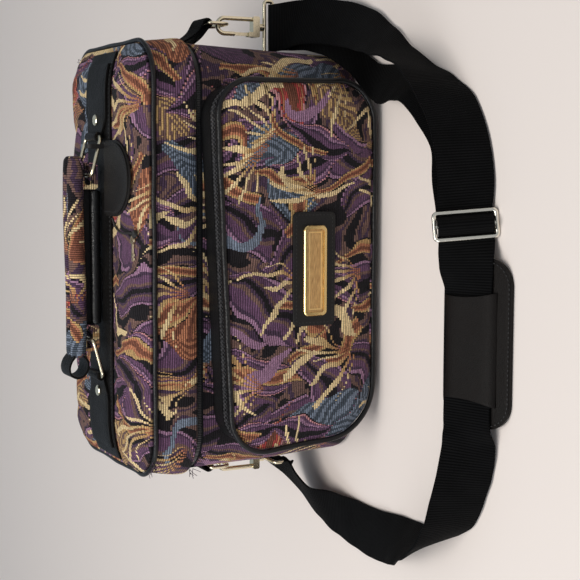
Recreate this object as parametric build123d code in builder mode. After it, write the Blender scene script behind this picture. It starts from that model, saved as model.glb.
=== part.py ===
from build123d import *

import os
from math import asin, cos, degrees, radians, sin, sqrt

# A soft-sided tapestry makeup case with a zip-around lid, a zipped front pocket and a shoulder strap.
# Millimetres, +Z up, -Y to the front, origin at the middle of the trunk's base on the table.

# Clearances and cloth
gap = 0.3
seat_gap = 0.05
fabric = 4.0
lining = 0.8
vinyl = 1.6
tape = 0.9

# Trunk
trunk_width = 330.0
trunk_side_lean = 5.0
trunk_foot_width = trunk_width - 2 * trunk_side_lean
trunk_depth = 168.0
trunk_height = 134.0
trunk_corner = 36.0
trunk_foot_radius = 7.0
board_thickness = 2.5
board_inset = 2.0
lining_top_drop = 3.0

# Zip between trunk and lid
zip_rise = 4.7
zip_height = trunk_height + zip_rise
zip_row_height = 2.6
zip_row_thickness = 2.2
zip_row_gap = 0.5
zip_rear_short = 32.0
zip_rear_stop = trunk_depth / 2 - zip_rear_short

# Lid
lid_overhang = 5.0
lid_edge_rise = 2.5
lid_band_height = 32.8
lid_band_lean = 6.0
lid_corner_growth = 2.0
seam_corner_loss = 8.0
lid_width = trunk_width + 1.6 * lid_overhang
lid_depth = trunk_depth + 2 * lid_overhang
lid_corner = trunk_corner + lid_corner_growth
lid_edge_height = zip_height + lid_edge_rise
seam_width = lid_width - 2 * lid_band_lean
seam_depth = lid_depth - 2 * lid_band_lean
seam_corner = lid_corner - seam_corner_loss
seam_height = lid_edge_height + lid_band_height
lid_shoulder_rise = 8.0
lid_crown_rise = 11.0
lid_side_rise = 3.0
lid_shoulder_inset = 10.0
lid_crown_inset = 38.0
lid_crown_corner = 8.0
piping_radius = 2.0
hinge_strip_inset = 37.0
hinge_strip_width = trunk_width - 2 * hinge_strip_inset
hinge_strip_drop = 18.0

# Pocket
pocket_left = -142.0
pocket_right = 132.0
pocket_left_drop = 9.5
pocket_right_rise = 3.0
pocket_top_left = trunk_height - pocket_left_drop
pocket_top_right = trunk_height + pocket_right_rise
pocket_foot_left = -132.0
pocket_foot_right = 134.0
pocket_base = 9.0
pocket_depth = 40.0
pocket_radii = (40.0, 30.0, 24.0, 26.0)
pocket_panel_thickness = 4.5
pocket_vinyl_depth = 10.5
pocket_zip_tape_depth = 4.2
pocket_zip_end = 66.0
tooth_pitch = 3.0
tooth_length = 1.3
tooth_reach = 3.4
tooth_thickness = 2.4

# Badge
badge_x = -5.0
badge_z = 61.5
plate_shift = 1.4
patch_width = 86.0
patch_height = 35.5
patch_radius = 4.0
patch_thickness = 1.8
plate_width = 68.0
plate_height = 19.5
plate_radius = 4.0
plate_thickness = 2.4
plate_rim = 2.6
plate_field_depth = 0.9

# Leather band, tabs and rings on the lid
band_width = 52.0
band_inset = 4.0
band_length = seam_width - 2 * band_inset
leather = 1.6
tab_inset = 9.0
tab_reach = 38.0
tab_outer_x = band_length / 2 - tab_inset
tab_taper_x = tab_outer_x - tab_reach
tab_width = 44.0
tab_tip_width = 24.0
tab_thickness = 2.2
rivet_inset = 5.0
rivet_x = tab_taper_x - rivet_inset
rivet_radius = 4.4
rivet_height = 1.2
tab_taper_length = 18.0
ring_pivot_x = tab_taper_x - tab_taper_length
ring_wire = 1.5
ring_span = 31.0
ring_breadth = 35.0
ring_rise = 8.0
ring_corner = 5.0

# Handle
handle_lift = 10.0
grip_inset = 15.0
grip_length = 2 * (ring_pivot_x - grip_inset)
grip_roll_radius = 6.3
grip_roll_spacing = 11.0
grip_bottom_clear = 0.9
grip_width_flat = 9.0
core_height = 8.4
core_width = 17.0
core_inset = 41.0
core_middle = ring_pivot_x - core_inset
loop_wall = 2.2
loop_outer_radius = 8.0
loop_width = 22.0

# Luggage tag
tag_hinge_y = -21.5
tag_width = 58.0
tag_inset = 3.0
tag_right = ring_pivot_x - tag_inset
tag_left = tag_right - tag_width
tag_length = 46.0
tag_leaf = 1.3
tag_slope = 4.0
tag_strap_width = 3.5
tag_strap_thickness = 1.2
tag_strap_inset = 7.5
tag_strap_x = ring_pivot_x - tag_strap_inset
cord_radius = 0.9

# Side hardware
tab_strip_width = 25.0
tab_strip_thickness = 2.4
tab_fold_drop = 13.0
tab_under_drop = 18.0
tab_fold_z = trunk_height - tab_fold_drop
tab_under_z = trunk_height - tab_under_drop
side_y = -5.0
dee_height_z = 100.0
dee_drop = 17.0
dee_breadth = 31.0
dee_wire = 1.5
dee_left_stand = 10.0
dee_right_stand = 20.0
dee_left_x = -trunk_width / 2 - dee_left_stand
dee_right_x = trunk_width / 2 + dee_right_stand
hook_wire = 1.8
hook_half_width = 6.2
hook_base_z = 50.0
hook_base_height = 6.0
eye_bar_z = 37.0
eye_height = 7.4
eye_breadth = 43.0
eye_wire = 1.6
eye_corner = 2.4

# Shoulder strap
webbing_width = 38.0
webbing = 1.5
pad_place = (-47.0, -256.0, 14.4)
slide_place = (33.0, -262.0, 19.8)
slide_corner = 2.4
slide_length = 45.0
slide_width = 21.0
slide_wire = 1.6
pad_length = 116.0
pad_width = 55.0
pad_radius = 19.0
pad_leather = 2.4
sleeve_length = 66.0
sleeve_wall = 1.5
sleeve_margin = 0.8

# Zip sliders and pulls
slider_length = 11.0
lid_slider_width = 6.4
pocket_slider_width = 8.4
slider_plate = 1.2
pull_length = 40.0
pull_width = 6.0
pull_thickness = 1.4
pull_pin = 0.8
pull_pin_height = 3.1
lid_slider_stop = 2.0
lid_slider_y = zip_rear_stop - lid_slider_stop
pocket_slider_z = 81.0

parts = {}


def keep(name, shape):
    """Label one finished piece and write its STEP file."""
    shape.label = name
    parts[name] = shape
    export_step(shape, f"parts/{name}.step")


os.makedirs("parts", exist_ok=True)


def trunk_half_width(height):
    """Half width of the trunk's outside at a height, because its side walls lean."""
    return (trunk_foot_width + (trunk_width - trunk_foot_width) * height / trunk_height) / 2


def trunk_body(inset, low, high):
    """Lofted solid of the trunk's plan, taken in by an inset, between two heights."""
    with BuildPart() as body:
        for height in (low, high):
            with BuildSketch(Plane.XY.offset(height)):
                RectangleRounded(
                    2 * (trunk_half_width(height) - inset),
                    trunk_depth - 2 * inset,
                    trunk_corner - inset,
                )
        loft(ruled=True)
    return body.part


# Trunk shell: a padded wall and floor, open at the top
with BuildPart() as body_shell:
    add(trunk_body(0, 0, trunk_height))
    fillet(body_shell.edges().group_by(Axis.Z)[0], trunk_foot_radius)
    add(trunk_body(fabric, fabric, trunk_height), mode=Mode.SUBTRACT)
keep("body_shell", body_shell.part)

# Stiff board on the floor, under the lining
board_top = fabric + board_thickness
with BuildPart() as bottom_board:
    with BuildSketch(Plane.XY.offset(fabric)):
        RectangleRounded(
            trunk_foot_width - 2 * (fabric + board_inset),
            trunk_depth - 2 * (fabric + board_inset),
            trunk_corner - fabric - board_inset,
        )
    extrude(amount=board_thickness)
keep("bottom_board", bottom_board.part)

# Lining cup that stands on the board
lining_top = trunk_height - lining_top_drop
with BuildPart() as body_lining:
    add(trunk_body(fabric + gap, board_top, lining_top))
    add(
        trunk_body(fabric + gap + lining, board_top + lining, lining_top),
        mode=Mode.SUBTRACT,
    )
keep("body_lining", body_lining.part)


def zip_plan(thickness, centre_inset):
    """Plan of a zip row or tape that follows the trunk's rim on three sides, open at the back."""
    with BuildSketch() as plan:
        RectangleRounded(
            trunk_width - 2 * centre_inset + thickness,
            trunk_depth - 2 * centre_inset + thickness,
            trunk_corner - centre_inset + thickness / 2,
        )
        RectangleRounded(
            trunk_width - 2 * centre_inset - thickness,
            trunk_depth - 2 * centre_inset - thickness,
            trunk_corner - centre_inset - thickness / 2,
            mode=Mode.SUBTRACT,
        )
        with Locations((0, zip_rear_stop + trunk_depth / 2)):
            Rectangle(2 * trunk_width, trunk_depth, mode=Mode.SUBTRACT)
    return plan.sketch


def zip_ring(low, high, thickness, centre_inset):
    """A zip row or tape between two heights."""
    with BuildPart() as ring:
        with BuildSketch(Plane.XY.offset(low)):
            add(zip_plan(thickness, centre_inset))
        extrude(amount=high - low)
    return ring.part


# Lower half of the lid's zip: a tape that stands on the rim and a row of coils along its edge
zip_inset = fabric / 2
lower_row_top = zip_height - zip_row_gap / 2
lower_row_base = lower_row_top - zip_row_height
keep("body_zip_tape", zip_ring(trunk_height, lower_row_base, tape, zip_inset))
keep("body_zip_teeth", zip_ring(lower_row_base, lower_row_top, zip_row_thickness, zip_inset))

# Vinyl strip that the lid folds on, sewn down the back of the trunk
strip_y = trunk_depth / 2 + gap / 3
with BuildPart() as lid_hinge_strip:
    with BuildSketch(Plane.XY.offset(zip_height - hinge_strip_drop)):
        with Locations((0, strip_y + vinyl / 4)):
            Rectangle(hinge_strip_width, vinyl / 2)
    extrude(amount=hinge_strip_drop - zip_row_gap)
keep("lid_hinge_strip", lid_hinge_strip.part)

# Lid band: the side wall of the lid, a little wider at its lower edge
with BuildPart() as lid_band:
    for inset in (0, fabric):
        with BuildSketch(Plane.XY.offset(lid_edge_height)):
            RectangleRounded(lid_width - 2 * inset, lid_depth - 2 * inset, lid_corner - inset)
        with BuildSketch(Plane.XY.offset(seam_height)):
            RectangleRounded(seam_width - 2 * inset, seam_depth - 2 * inset, seam_corner - inset)
        loft(ruled=True, mode=Mode.SUBTRACT if inset else Mode.ADD)
keep("lid_band", lid_band.part)


def lid_dome(inset, drop):
    """Domed top of the lid as a closed solid, taken in at the sides and lowered by the panel's thickness."""
    levels = (
        (0, seam_height, 0, seam_corner),
        (lid_side_rise, seam_height, 0, seam_corner),
        (lid_shoulder_rise, seam_height, lid_shoulder_inset, seam_corner - lid_shoulder_inset / 2),
        (lid_crown_rise, seam_height, lid_crown_inset, lid_crown_corner),
    )
    with BuildPart() as dome:
        for rise, base, taken_in, corner in levels:
            height = base + (rise - drop if rise else 0)
            with BuildSketch(Plane.XY.offset(height)):
                RectangleRounded(
                    seam_width - 2 * (inset + taken_in),
                    seam_depth - 2 * (inset + taken_in),
                    max(corner - inset, lid_crown_corner / 2),
                )
        loft(ruled=True)
    return dome.part


# Lid panel: padded tapestry top
lid_panel_drop = 2.8
with BuildPart() as lid_panel:
    add(lid_dome(0, 0))
    add(lid_dome(fabric, lid_panel_drop), mode=Mode.SUBTRACT)
keep("lid_panel", lid_panel.part)
lid_top = seam_height + lid_crown_rise


def closed_tube(path, radius, normal):
    """Round bead or wire swept round a closed path."""
    with BuildPart() as tube:
        with BuildSketch(Plane(origin=path @ 0, x_dir=normal, z_dir=path % 0)):
            Circle(radius)
        sweep(path=path)
    return tube.part


# Piping over the seam between the lid's panel and its band
piping_out = piping_radius + gap / 2
with BuildLine(Plane.XY.offset(seam_height)) as lid_seam:
    lid_seam_half = (seam_width / 2 + piping_out, seam_depth / 2 + piping_out)
    FilletPolyline(
        (-lid_seam_half[0], -lid_seam_half[1]),
        (lid_seam_half[0], -lid_seam_half[1]),
        (lid_seam_half[0], lid_seam_half[1]),
        (-lid_seam_half[0], lid_seam_half[1]),
        radius=seam_corner + piping_out,
        close=True,
    )
keep("lid_piping", closed_tube(lid_seam.wire(), piping_radius, (0, 0, 1)))

# Lid lining: a tray of cloth under the panel
with BuildPart() as lid_lining:
    lining_inset = fabric + gap
    lining_base = lid_edge_height + 14.0
    lining_share = (seam_height - lining_base) / (seam_height - lid_edge_height)
    lining_out = (lid_width - seam_width) / 2 * lining_share
    lining_corner = seam_corner + (lid_corner - seam_corner) * lining_share
    for extra, roof in ((0, seam_height), (lining, seam_height - lining)):
        with BuildSketch(Plane.XY.offset(lining_base)):
            RectangleRounded(
                seam_width + 2 * (lining_out - lining_inset - extra),
                seam_depth + 2 * (lining_out - lining_inset - extra),
                lining_corner - lining_inset - extra,
            )
        with BuildSketch(Plane.XY.offset(roof)):
            RectangleRounded(
                seam_width - 2 * (lining_inset + extra),
                seam_depth - 2 * (lining_inset + extra),
                seam_corner - lining_inset - extra,
            )
        loft(ruled=True, mode=Mode.SUBTRACT if extra else Mode.ADD)
keep("lid_lining", lid_lining.part)

# Upper half of the lid's zip, carried inside the lid's lower edge
upper_row_base = zip_height + zip_row_gap / 2
upper_row_top = upper_row_base + zip_row_height
upper_tape_top = upper_row_top + 5.0
keep("lid_zip_teeth", zip_ring(upper_row_base, upper_row_top, zip_row_thickness, zip_inset))
keep("lid_zip_tape", zip_ring(upper_row_top, upper_tape_top, tape, zip_inset))

# Upper edge of the hinge strip, sewn inside the back of the lid
with BuildPart() as lid_hinge_upper:
    with BuildSketch(Plane.XY.offset(zip_height + zip_row_gap)):
        with Locations((0, lid_depth / 2 - fabric - vinyl)):
            Rectangle(hinge_strip_width, vinyl / 2)
    extrude(amount=lid_edge_height - zip_height + 2.5)
keep("lid_hinge_upper", lid_hinge_upper.part)


def pocket_sketch(grow):
    """Outline of the pocket's front, grown or taken in, on the XZ plane."""
    with BuildSketch() as outline:
        with BuildLine():
            FilletPolyline(
                (pocket_foot_left, pocket_base),
                (pocket_foot_right, pocket_base),
                (pocket_right, pocket_top_right),
                (pocket_left, pocket_top_left),
                radius=list(pocket_radii),
                close=True,
            )
        make_face()
        if grow:
            offset(amount=grow, kind=Kind.ARC)
    return outline.sketch


def pocket_ring(back, front, wall_thickness, outer_inset=0.0):
    """Stretch of the pocket's side wall between two distances from the trunk's middle."""
    with BuildPart() as ring:
        with BuildSketch(Plane.XZ.offset(back)):
            add(pocket_sketch(-outer_inset))
            add(pocket_sketch(-outer_inset - wall_thickness), mode=Mode.SUBTRACT)
        extrude(amount=front - back)
    return ring.part


# Pocket: front panel, piping, vinyl gusset, zip and cloth base gusset
pocket_back_y = trunk_depth / 2 + gap
pocket_front_y = trunk_depth / 2 + pocket_depth
panel_back_y = pocket_front_y - pocket_panel_thickness
gusset_wall = 2.2

with BuildPart() as pocket_panel:
    with BuildSketch(Plane.XZ.offset(panel_back_y)):
        add(pocket_sketch(0))
    extrude(amount=pocket_panel_thickness)
    chamfer(pocket_panel.faces().sort_by(Axis.Y)[0].edges(), 2.4, 6.0)
keep("pocket_panel", pocket_panel.part)

pocket_seam = Plane.XZ.offset(panel_back_y + 1.4) * pocket_sketch(piping_radius + gap / 2).face().outer_wire()
keep("pocket_piping", closed_tube(pocket_seam, piping_radius, (0, 1, 0)))

front_tape_y = panel_back_y - pocket_vinyl_depth
front_row_y = front_tape_y - pocket_zip_tape_depth
rear_row_y = front_row_y - zip_row_gap
rear_tape_y = rear_row_y - pocket_zip_tape_depth
zip_end_plane = Plane.XY.offset(pocket_zip_end)


def upper_half(shape):
    """Keep what lies above the ends of the pocket's zip."""
    with BuildPart() as kept:
        add(shape)
        split(bisect_by=zip_end_plane, keep=Keep.TOP)
    return kept.part


keep("pocket_gusset_front", upper_half(pocket_ring(front_tape_y, panel_back_y, gusset_wall)))
keep("pocket_gusset_rear", upper_half(pocket_ring(pocket_back_y, rear_tape_y, gusset_wall)))
with BuildPart() as pocket_gusset_base:
    add(pocket_ring(pocket_back_y, panel_back_y, gusset_wall))
    split(bisect_by=zip_end_plane, keep=Keep.BOTTOM)
keep("pocket_gusset_base", pocket_gusset_base.part)

# Teeth stand on the edge of each tape and interlock across the middle of the zip
chain_line = pocket_sketch(-gusset_wall / 2).face().outer_wire()
tooth_count = int(chain_line.length / tooth_pitch)


def tooth_planes(shift, level):
    """Places of one row's teeth round the pocket, above the ends of the zip."""
    planes = []
    for number in range(tooth_count):
        share = (number + shift) / tooth_count
        spot = chain_line @ share
        along = chain_line % share
        if spot.Y > pocket_zip_end + tooth_pitch:
            planes.append(
                Plane(origin=(spot.X, -level, spot.Y), x_dir=(0, 1, 0), z_dir=(along.X, 0, along.Y))
            )
    return planes


def zip_side(back, front, shift, teeth_level):
    """One tape of the pocket's zip with its row of teeth."""
    with BuildPart() as side:
        add(upper_half(pocket_ring(back, front, tape, (gusset_wall - tape) / 2)))
        with Locations(*tooth_planes(shift, teeth_level)):
            Box(tooth_reach, tooth_thickness, tooth_length)
    return side.part


chain_middle = (front_row_y + rear_row_y) / 2
row_offset = tooth_reach / 2 - 0.5
keep("pocket_zip_front", zip_side(front_row_y + 1.2, front_tape_y, 0.0, chain_middle + row_offset))
keep("pocket_zip_rear", zip_side(rear_tape_y, rear_row_y - 1.2, 0.5, chain_middle - row_offset))

# Badge: stitched leather patch and a bare stepped metal plate
with BuildPart() as badge_patch:
    with BuildSketch(Plane.XZ.offset(pocket_front_y + seat_gap)):
        with Locations((badge_x, badge_z)):
            RectangleRounded(patch_width, patch_height, patch_radius)
    extrude(amount=patch_thickness)
keep("badge_patch", badge_patch.part)

plate_back_y = pocket_front_y + seat_gap + patch_thickness
with BuildPart() as badge_plate:
    with BuildSketch(Plane.XZ.offset(plate_back_y)):
        with Locations((badge_x - plate_shift, badge_z)):
            RectangleRounded(plate_width, plate_height, plate_radius)
    extrude(amount=plate_thickness)
    with BuildSketch(Plane.XZ.offset(plate_back_y + plate_thickness)):
        with Locations((badge_x - plate_shift, badge_z)):
            RectangleRounded(
                plate_width - 2 * plate_rim, plate_height - 2 * plate_rim, plate_radius - plate_rim / 2
            )
    extrude(amount=-plate_field_depth, mode=Mode.SUBTRACT)
    chamfer(badge_plate.faces().sort_by(Axis.Y)[0].outer_wire().edges(), 0.6)
keep("badge_plate", badge_plate.part)

# Leather band laid across the lid, following the dome
band_half = band_length / 2


def lid_profile(lift):
    """Points of the dome's section across the lid, raised by a lift, from left to right."""
    half = seam_width / 2
    shoulder = (half - lid_shoulder_inset, seam_height + lid_shoulder_rise + lift)
    crown = (half - lid_crown_inset, lid_top + lift)
    side_z = seam_height + lid_side_rise
    slope = (lid_shoulder_rise - lid_side_rise) / lid_shoulder_inset
    end = (band_half, side_z + slope * (half - band_half) + lift)
    right = [crown, shoulder, end]
    return [(-x, z) for x, z in reversed(right)] + right


with BuildPart() as lid_leather_band:
    with BuildSketch(Plane.XZ.offset(-band_width / 2)):
        with BuildLine():
            Polyline(*lid_profile(gap), *reversed(lid_profile(gap + leather)), close=True)
        make_face()
    extrude(amount=band_width)
keep("lid_leather_band", lid_leather_band.part)

# Leather tabs that hold the handle's rings, riveted to the band
band_top = lid_top + gap + leather
tab_base = band_top + seat_gap
ring_loop_inner = ring_wire + gap
ring_loop_outer = ring_loop_inner + tab_thickness - 0.2
ring_pivot_z = tab_base + ring_loop_outer
crown_half = seam_width / 2 - lid_crown_inset


def handle_tab(side):
    """Leather tab with a folded loop for the ring, on the left (-1) or right (+1)."""
    with BuildPart() as tab:
        with BuildSketch(Plane.XY.offset(tab_base)):
            with BuildLine():
                Polyline(
                    (side * crown_half, -tab_width / 2),
                    (side * tab_taper_x, -tab_width / 2),
                    (side * (ring_pivot_x + 3), -tab_tip_width / 2),
                    (side * (ring_pivot_x + 3), tab_tip_width / 2),
                    (side * tab_taper_x, tab_width / 2),
                    (side * crown_half, tab_width / 2),
                    close=True,
                )
            make_face()
        extrude(amount=tab_thickness)
        with BuildSketch(Plane.XZ.offset(-tab_tip_width / 2)):
            with Locations((side * ring_pivot_x, ring_pivot_z)):
                Circle(ring_loop_outer)
        extrude(amount=tab_tip_width)
        with BuildSketch(Plane.XZ.offset(-tab_width / 2)):
            with Locations((side * ring_pivot_x, ring_pivot_z)):
                Circle(ring_loop_inner)
        extrude(amount=tab_width, mode=Mode.SUBTRACT)
        with BuildSketch(Plane.XZ.offset(-tab_width / 2)):
            with BuildLine():
                fall = (lid_crown_rise - lid_shoulder_rise) / (lid_crown_inset - lid_shoulder_inset)
                drop = fall * (tab_outer_x - crown_half)
                Polyline(
                    (side * crown_half, tab_base),
                    (side * tab_outer_x, tab_base - drop),
                    (side * tab_outer_x, tab_base - drop + tab_thickness),
                    (side * crown_half, tab_base + tab_thickness),
                    close=True,
                )
            make_face()
        extrude(amount=tab_width)
    return tab.part


def rivet(side):
    """Low domed rivet head on a tab."""
    with BuildPart() as head:
        with BuildSketch(Plane.XY.offset(tab_base + tab_thickness)):
            with Locations((side * rivet_x, 0)):
                Circle(rivet_radius)
        extrude(amount=rivet_height)
        chamfer(head.faces().sort_by(Axis.Z)[-1].edges(), rivet_height / 2)
    return head.part


def ring(side):
    """Wire ring between a tab and the handle, sloping up towards the handle."""
    run = sqrt(ring_span**2 - ring_rise**2)
    slope = Plane(
        origin=(side * ring_pivot_x, 0, ring_pivot_z),
        x_dir=(-side * run, 0, ring_rise),
        z_dir=(side * ring_rise, 0, run),
    )
    with BuildLine(slope) as path:
        FilletPolyline(
            (0, -ring_breadth / 2),
            (ring_span, -ring_breadth / 2),
            (ring_span, ring_breadth / 2),
            (0, ring_breadth / 2),
            radius=ring_corner,
            close=True,
        )
    return closed_tube(path.wire(), ring_wire, slope.z_dir)


for label, side in (("left", -1), ("right", 1)):
    keep(f"handle_tab_{label}", handle_tab(side))
    keep(f"rivet_{label}", rivet(side))
    keep(f"ring_{label}", ring(side))

# Handle: padded tapestry grip over a vinyl-wrapped strip, folded round the rings at both ends
ring_run = sqrt(ring_span**2 - ring_rise**2)
ring_bar_x = ring_pivot_x - ring_run
ring_bar_z = ring_pivot_z + ring_rise
lifted_run = sqrt(ring_span**2 - (ring_rise + handle_lift) ** 2)
slot_half_height = ring_wire + grip_bottom_clear
slot_inner_x = ring_bar_x - ring_wire - 6.0
slot_outer_x = ring_pivot_x - lifted_run + ring_wire + 1.5
grip_base = ring_bar_z + slot_half_height
core_top = ring_bar_z - slot_half_height
core_base = core_top - core_height

with BuildPart() as handle_grip:
    with BuildSketch(Plane.YZ.offset(-grip_length / 2)):
        with Locations((-grip_roll_spacing / 2, grip_base + grip_roll_radius)):
            Circle(grip_roll_radius)
        with Locations((grip_roll_spacing / 2, grip_base + grip_roll_radius)):
            Circle(grip_roll_radius)
        with Locations((0, grip_base + grip_roll_radius - 1)):
            Rectangle(grip_roll_spacing, 2 * (grip_roll_radius - 1))
    extrude(amount=grip_length)
    with BuildSketch(Plane.XZ.offset(-grip_width_flat)):
        for side in (-1, 1):
            with BuildLine():
                Polyline(
                    (side * (core_middle + gap), grip_base + 1),
                    (side * (core_middle + gap), core_base + core_height / 3),
                    (side * (slot_outer_x + loop_wall), core_base + core_height / 3),
                    (side * (slot_outer_x + loop_wall), grip_base + 1),
                    close=True,
                )
            make_face()
    extrude(amount=2 * grip_width_flat)
    with BuildSketch(Plane.XZ.offset(-grip_roll_spacing)):
        for side in (-1, 1):
            with Locations((side * (slot_inner_x + slot_outer_x) / 2, ring_bar_z)):
                Rectangle(slot_outer_x - slot_inner_x, 2 * slot_half_height)
    extrude(amount=2 * grip_roll_spacing, mode=Mode.SUBTRACT)
keep("handle_grip", handle_grip.part)

wrap_gap = slot_half_height * 2
with BuildPart() as handle_wrap:
    with BuildSketch(Plane.YZ.offset(-core_middle)):
        with Locations((0, core_base + core_height / 2)):
            RectangleRounded(core_width, core_height, core_height / 2 - 0.2)
        with Locations((0, core_top + wrap_gap / 2 - 1)):
            Rectangle(core_width / 2, wrap_gap + 2 - 2 * seat_gap)
    extrude(amount=2 * core_middle)
keep("handle_wrap", handle_wrap.part)

loop_x = -grip_length / 2 - loop_outer_radius + 1.0
loop_z = grip_base + grip_roll_radius + 1.0
with BuildPart() as handle_loop:
    with BuildSketch(Plane.XZ.offset(-loop_width / 2)):
        with Locations((loop_x - 1.2, loop_z)):
            Circle(loop_outer_radius)
            Circle(loop_outer_radius - leather, mode=Mode.SUBTRACT)
    extrude(amount=loop_width)
keep("handle_loop", handle_loop.part)

# Luggage tag: two half-round leather leaves on a thin strap round the right ring
tag_base_z = band_top + gap + 0.4
tag_plane = Plane(
    origin=(0, tag_hinge_y, tag_base_z),
    x_dir=(1, 0, 0),
    z_dir=(0, -sin(radians(tag_slope)), cos(radians(tag_slope))),
)
tag_middle = (tag_left + tag_right) / 2


def tag_leaf_shape(base, shift, trim):
    """One half-round leaf, lifted off the tag's plane."""
    with BuildPart() as leaf:
        with BuildSketch(tag_plane.offset(base)):
            with BuildLine():
                Polyline(
                    (tag_left + shift + trim, 0),
                    (tag_right - trim, 0),
                    (tag_right - trim, -tag_length / 3),
                )
                ThreePointArc(
                    (tag_right - trim, -tag_length / 3),
                    (tag_middle + shift / 2, -tag_length + trim - shift),
                    (tag_left + shift + trim, -tag_length / 3),
                )
                Line((tag_left + shift + trim, -tag_length / 3), (tag_left + shift + trim, 0))
            make_face()
        extrude(amount=tag_leaf)
    return leaf.part


keep("tag_back", tag_leaf_shape(0, 0, 0))
keep("tag_front", tag_leaf_shape(tag_leaf + seat_gap, 0, 1.5))

# The strap is a closed band that stands on the lid's band, round the ring's front leg, behind the tag
tag_top_z = tag_base_z + 2 * tag_leaf + seat_gap
strap_top_z = ring_bar_z + 4.5
strap_base_z = band_top + seat_gap
strap_back_y = tag_hinge_y + seat_gap
strap_reach = 9.6
with BuildPart() as tag_strap:
    with BuildSketch(Plane.YZ.offset(tag_strap_x - tag_strap_width / 2)):
        with Locations((strap_back_y + strap_reach / 2, (strap_base_z + strap_top_z) / 2)):
            RectangleRounded(strap_reach, strap_top_z - strap_base_z, 3.4)
            RectangleRounded(
                strap_reach - 2 * tag_strap_thickness,
                strap_top_z - strap_base_z - 2 * tag_strap_thickness,
                2.2,
                mode=Mode.SUBTRACT,
            )
    extrude(amount=tag_strap_width)
keep("tag_strap", tag_strap.part)


# Cord loop from the tag with its knot and a small flat key
def lid_surface(y):
    """Height of the lid's top at the middle of its width, at a depth y."""
    half = seam_depth / 2
    inset = half - abs(y)
    if inset > lid_crown_inset:
        return lid_top
    share = (inset - lid_shoulder_inset) / (lid_crown_inset - lid_shoulder_inset)
    return seam_height + lid_shoulder_rise + share * (lid_crown_rise - lid_shoulder_rise)


cord_end_inset = 15.0
cord_end_y = -seam_depth / 2 + cord_end_inset
tag_cord_route = [
    (tag_left - 1.3, -34.0, tag_base_z + 0.5),
    (tag_left - 6.5, -36.5, tag_base_z - 0.2),
    (tag_left - 11.0, -43.5, tag_base_z - 0.9),
    (tag_left - 12.5, cord_end_y + 16.0, lid_surface(cord_end_y + 16.0) + 1.6),
    (tag_left - 11.5, cord_end_y + 7.5, lid_surface(cord_end_y + 7.5) + 1.4),
    (tag_left - 11.8, cord_end_y, lid_surface(cord_end_y) + 1.4),
]


def cord_radii(points, share=0.45):
    """Arc radius for each corner of a cord's route, as large as its two runs allow."""
    spots = [Vector(*point) for point in points]
    radii = []
    for before, here, after in zip(spots, spots[1:], spots[2:]):
        turn = radians((here - before).get_angle(after - here))
        run = min((here - before).length, (after - here).length)
        radii.append(share * run / (sin(turn / 2) / cos(turn / 2)))
    return radii


tag_cord_radii = cord_radii(tag_cord_route)
print("tag cord arc radii", [round(radius, 1) for radius in tag_cord_radii])
with BuildLine() as tag_cord_path:
    FilletPolyline(*tag_cord_route, radius=tag_cord_radii)
tag_cord_wire = tag_cord_path.wire()
with BuildPart() as tag_cord:
    with BuildSketch(Plane(origin=tag_cord_wire @ 0, z_dir=tag_cord_wire % 0)):
        Circle(cord_radius)
    sweep(path=tag_cord_wire)
print("tag cord length", round(tag_cord_wire.length, 1))
keep("tag_cord", tag_cord.part)

knot_end = tag_cord_wire @ 1
knot_along = tag_cord_wire % 1
with BuildPart() as tag_knot:
    with BuildSketch(Plane(origin=knot_end + knot_along * 3.1, z_dir=(0, 0, 1)).offset(-1.1)):
        Circle(3.0)
    extrude(amount=3.4)
    fillet(tag_knot.edges(), 1.3)
keep("tag_knot", tag_knot.part)

key_y = knot_end.Y + 2.0
key_z = lid_surface(key_y + 3.4) + gap
key_right = knot_end.X - 1.6
with BuildPart() as tag_key:
    with BuildSketch(Plane.XY.offset(key_z)):
        with Locations((key_right - 3.2, key_y)):
            Circle(3.2)
            Circle(1.5, mode=Mode.SUBTRACT)
        with Locations((key_right - 12.5, key_y)):
            Rectangle(13.5, 2.2)
        with Locations((key_right - 17.5, key_y - 1.8), (key_right - 14.3, key_y - 1.6)):
            Rectangle(1.8, 2.6)
    extrude(amount=1.1)
keep("tag_key", tag_key.part)


# Side tabs, dee rings and snap hooks
def side_tab(side, dee_x):
    """Webbing strip sewn to the side wall and folded round the dee ring's bar."""
    sewn_x = side * (trunk_half_width(trunk_height) + gap)
    with BuildPart() as tab:
        with BuildSketch(Plane.XZ.offset(-side_y - tab_strip_width / 2)):
            with BuildLine():
                Polyline(
                    (sewn_x, trunk_height - 1),
                    (sewn_x + side * tab_strip_thickness, trunk_height - 1),
                    (sewn_x + side * (tab_strip_thickness + 0.6), tab_fold_z),
                    (dee_x + side * (dee_wire + 1.8), dee_height_z + 1.0),
                    (dee_x - side * (dee_wire + 1.6), dee_height_z - 1.4),
                    (sewn_x, tab_under_z),
                    close=True,
                )
            make_face()
            with Locations((dee_x, dee_height_z)):
                Circle(dee_wire + gap + 1.9)
                Circle(dee_wire + gap, mode=Mode.SUBTRACT)
        extrude(amount=tab_strip_width)
    return tab.part


def dee(dee_x):
    """Wire dee ring that hangs in the tab, with its bar along Y."""
    hang = Plane(origin=(dee_x, side_y, dee_height_z), x_dir=(0, 1, 0), z_dir=(1, 0, 0))
    with BuildLine(hang) as path:
        FilletPolyline(
            (-dee_breadth / 2, 0),
            (dee_breadth / 2, 0),
            (dee_breadth / 2, -dee_drop),
            (-dee_breadth / 2, -dee_drop),
            radius=[2.0, 2.0, 7.0, 7.0],
            close=True,
        )
    return closed_tube(path.wire(), dee_wire, (1, 0, 0))


hook_block_top = hook_base_z + hook_base_height
bow_centre_z = dee_height_z - dee_drop + dee_wire + gap - (hook_half_width - hook_wire)
gate_pivot_z = hook_block_top + 2.0
nose_z = bow_centre_z - 8.6


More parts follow.
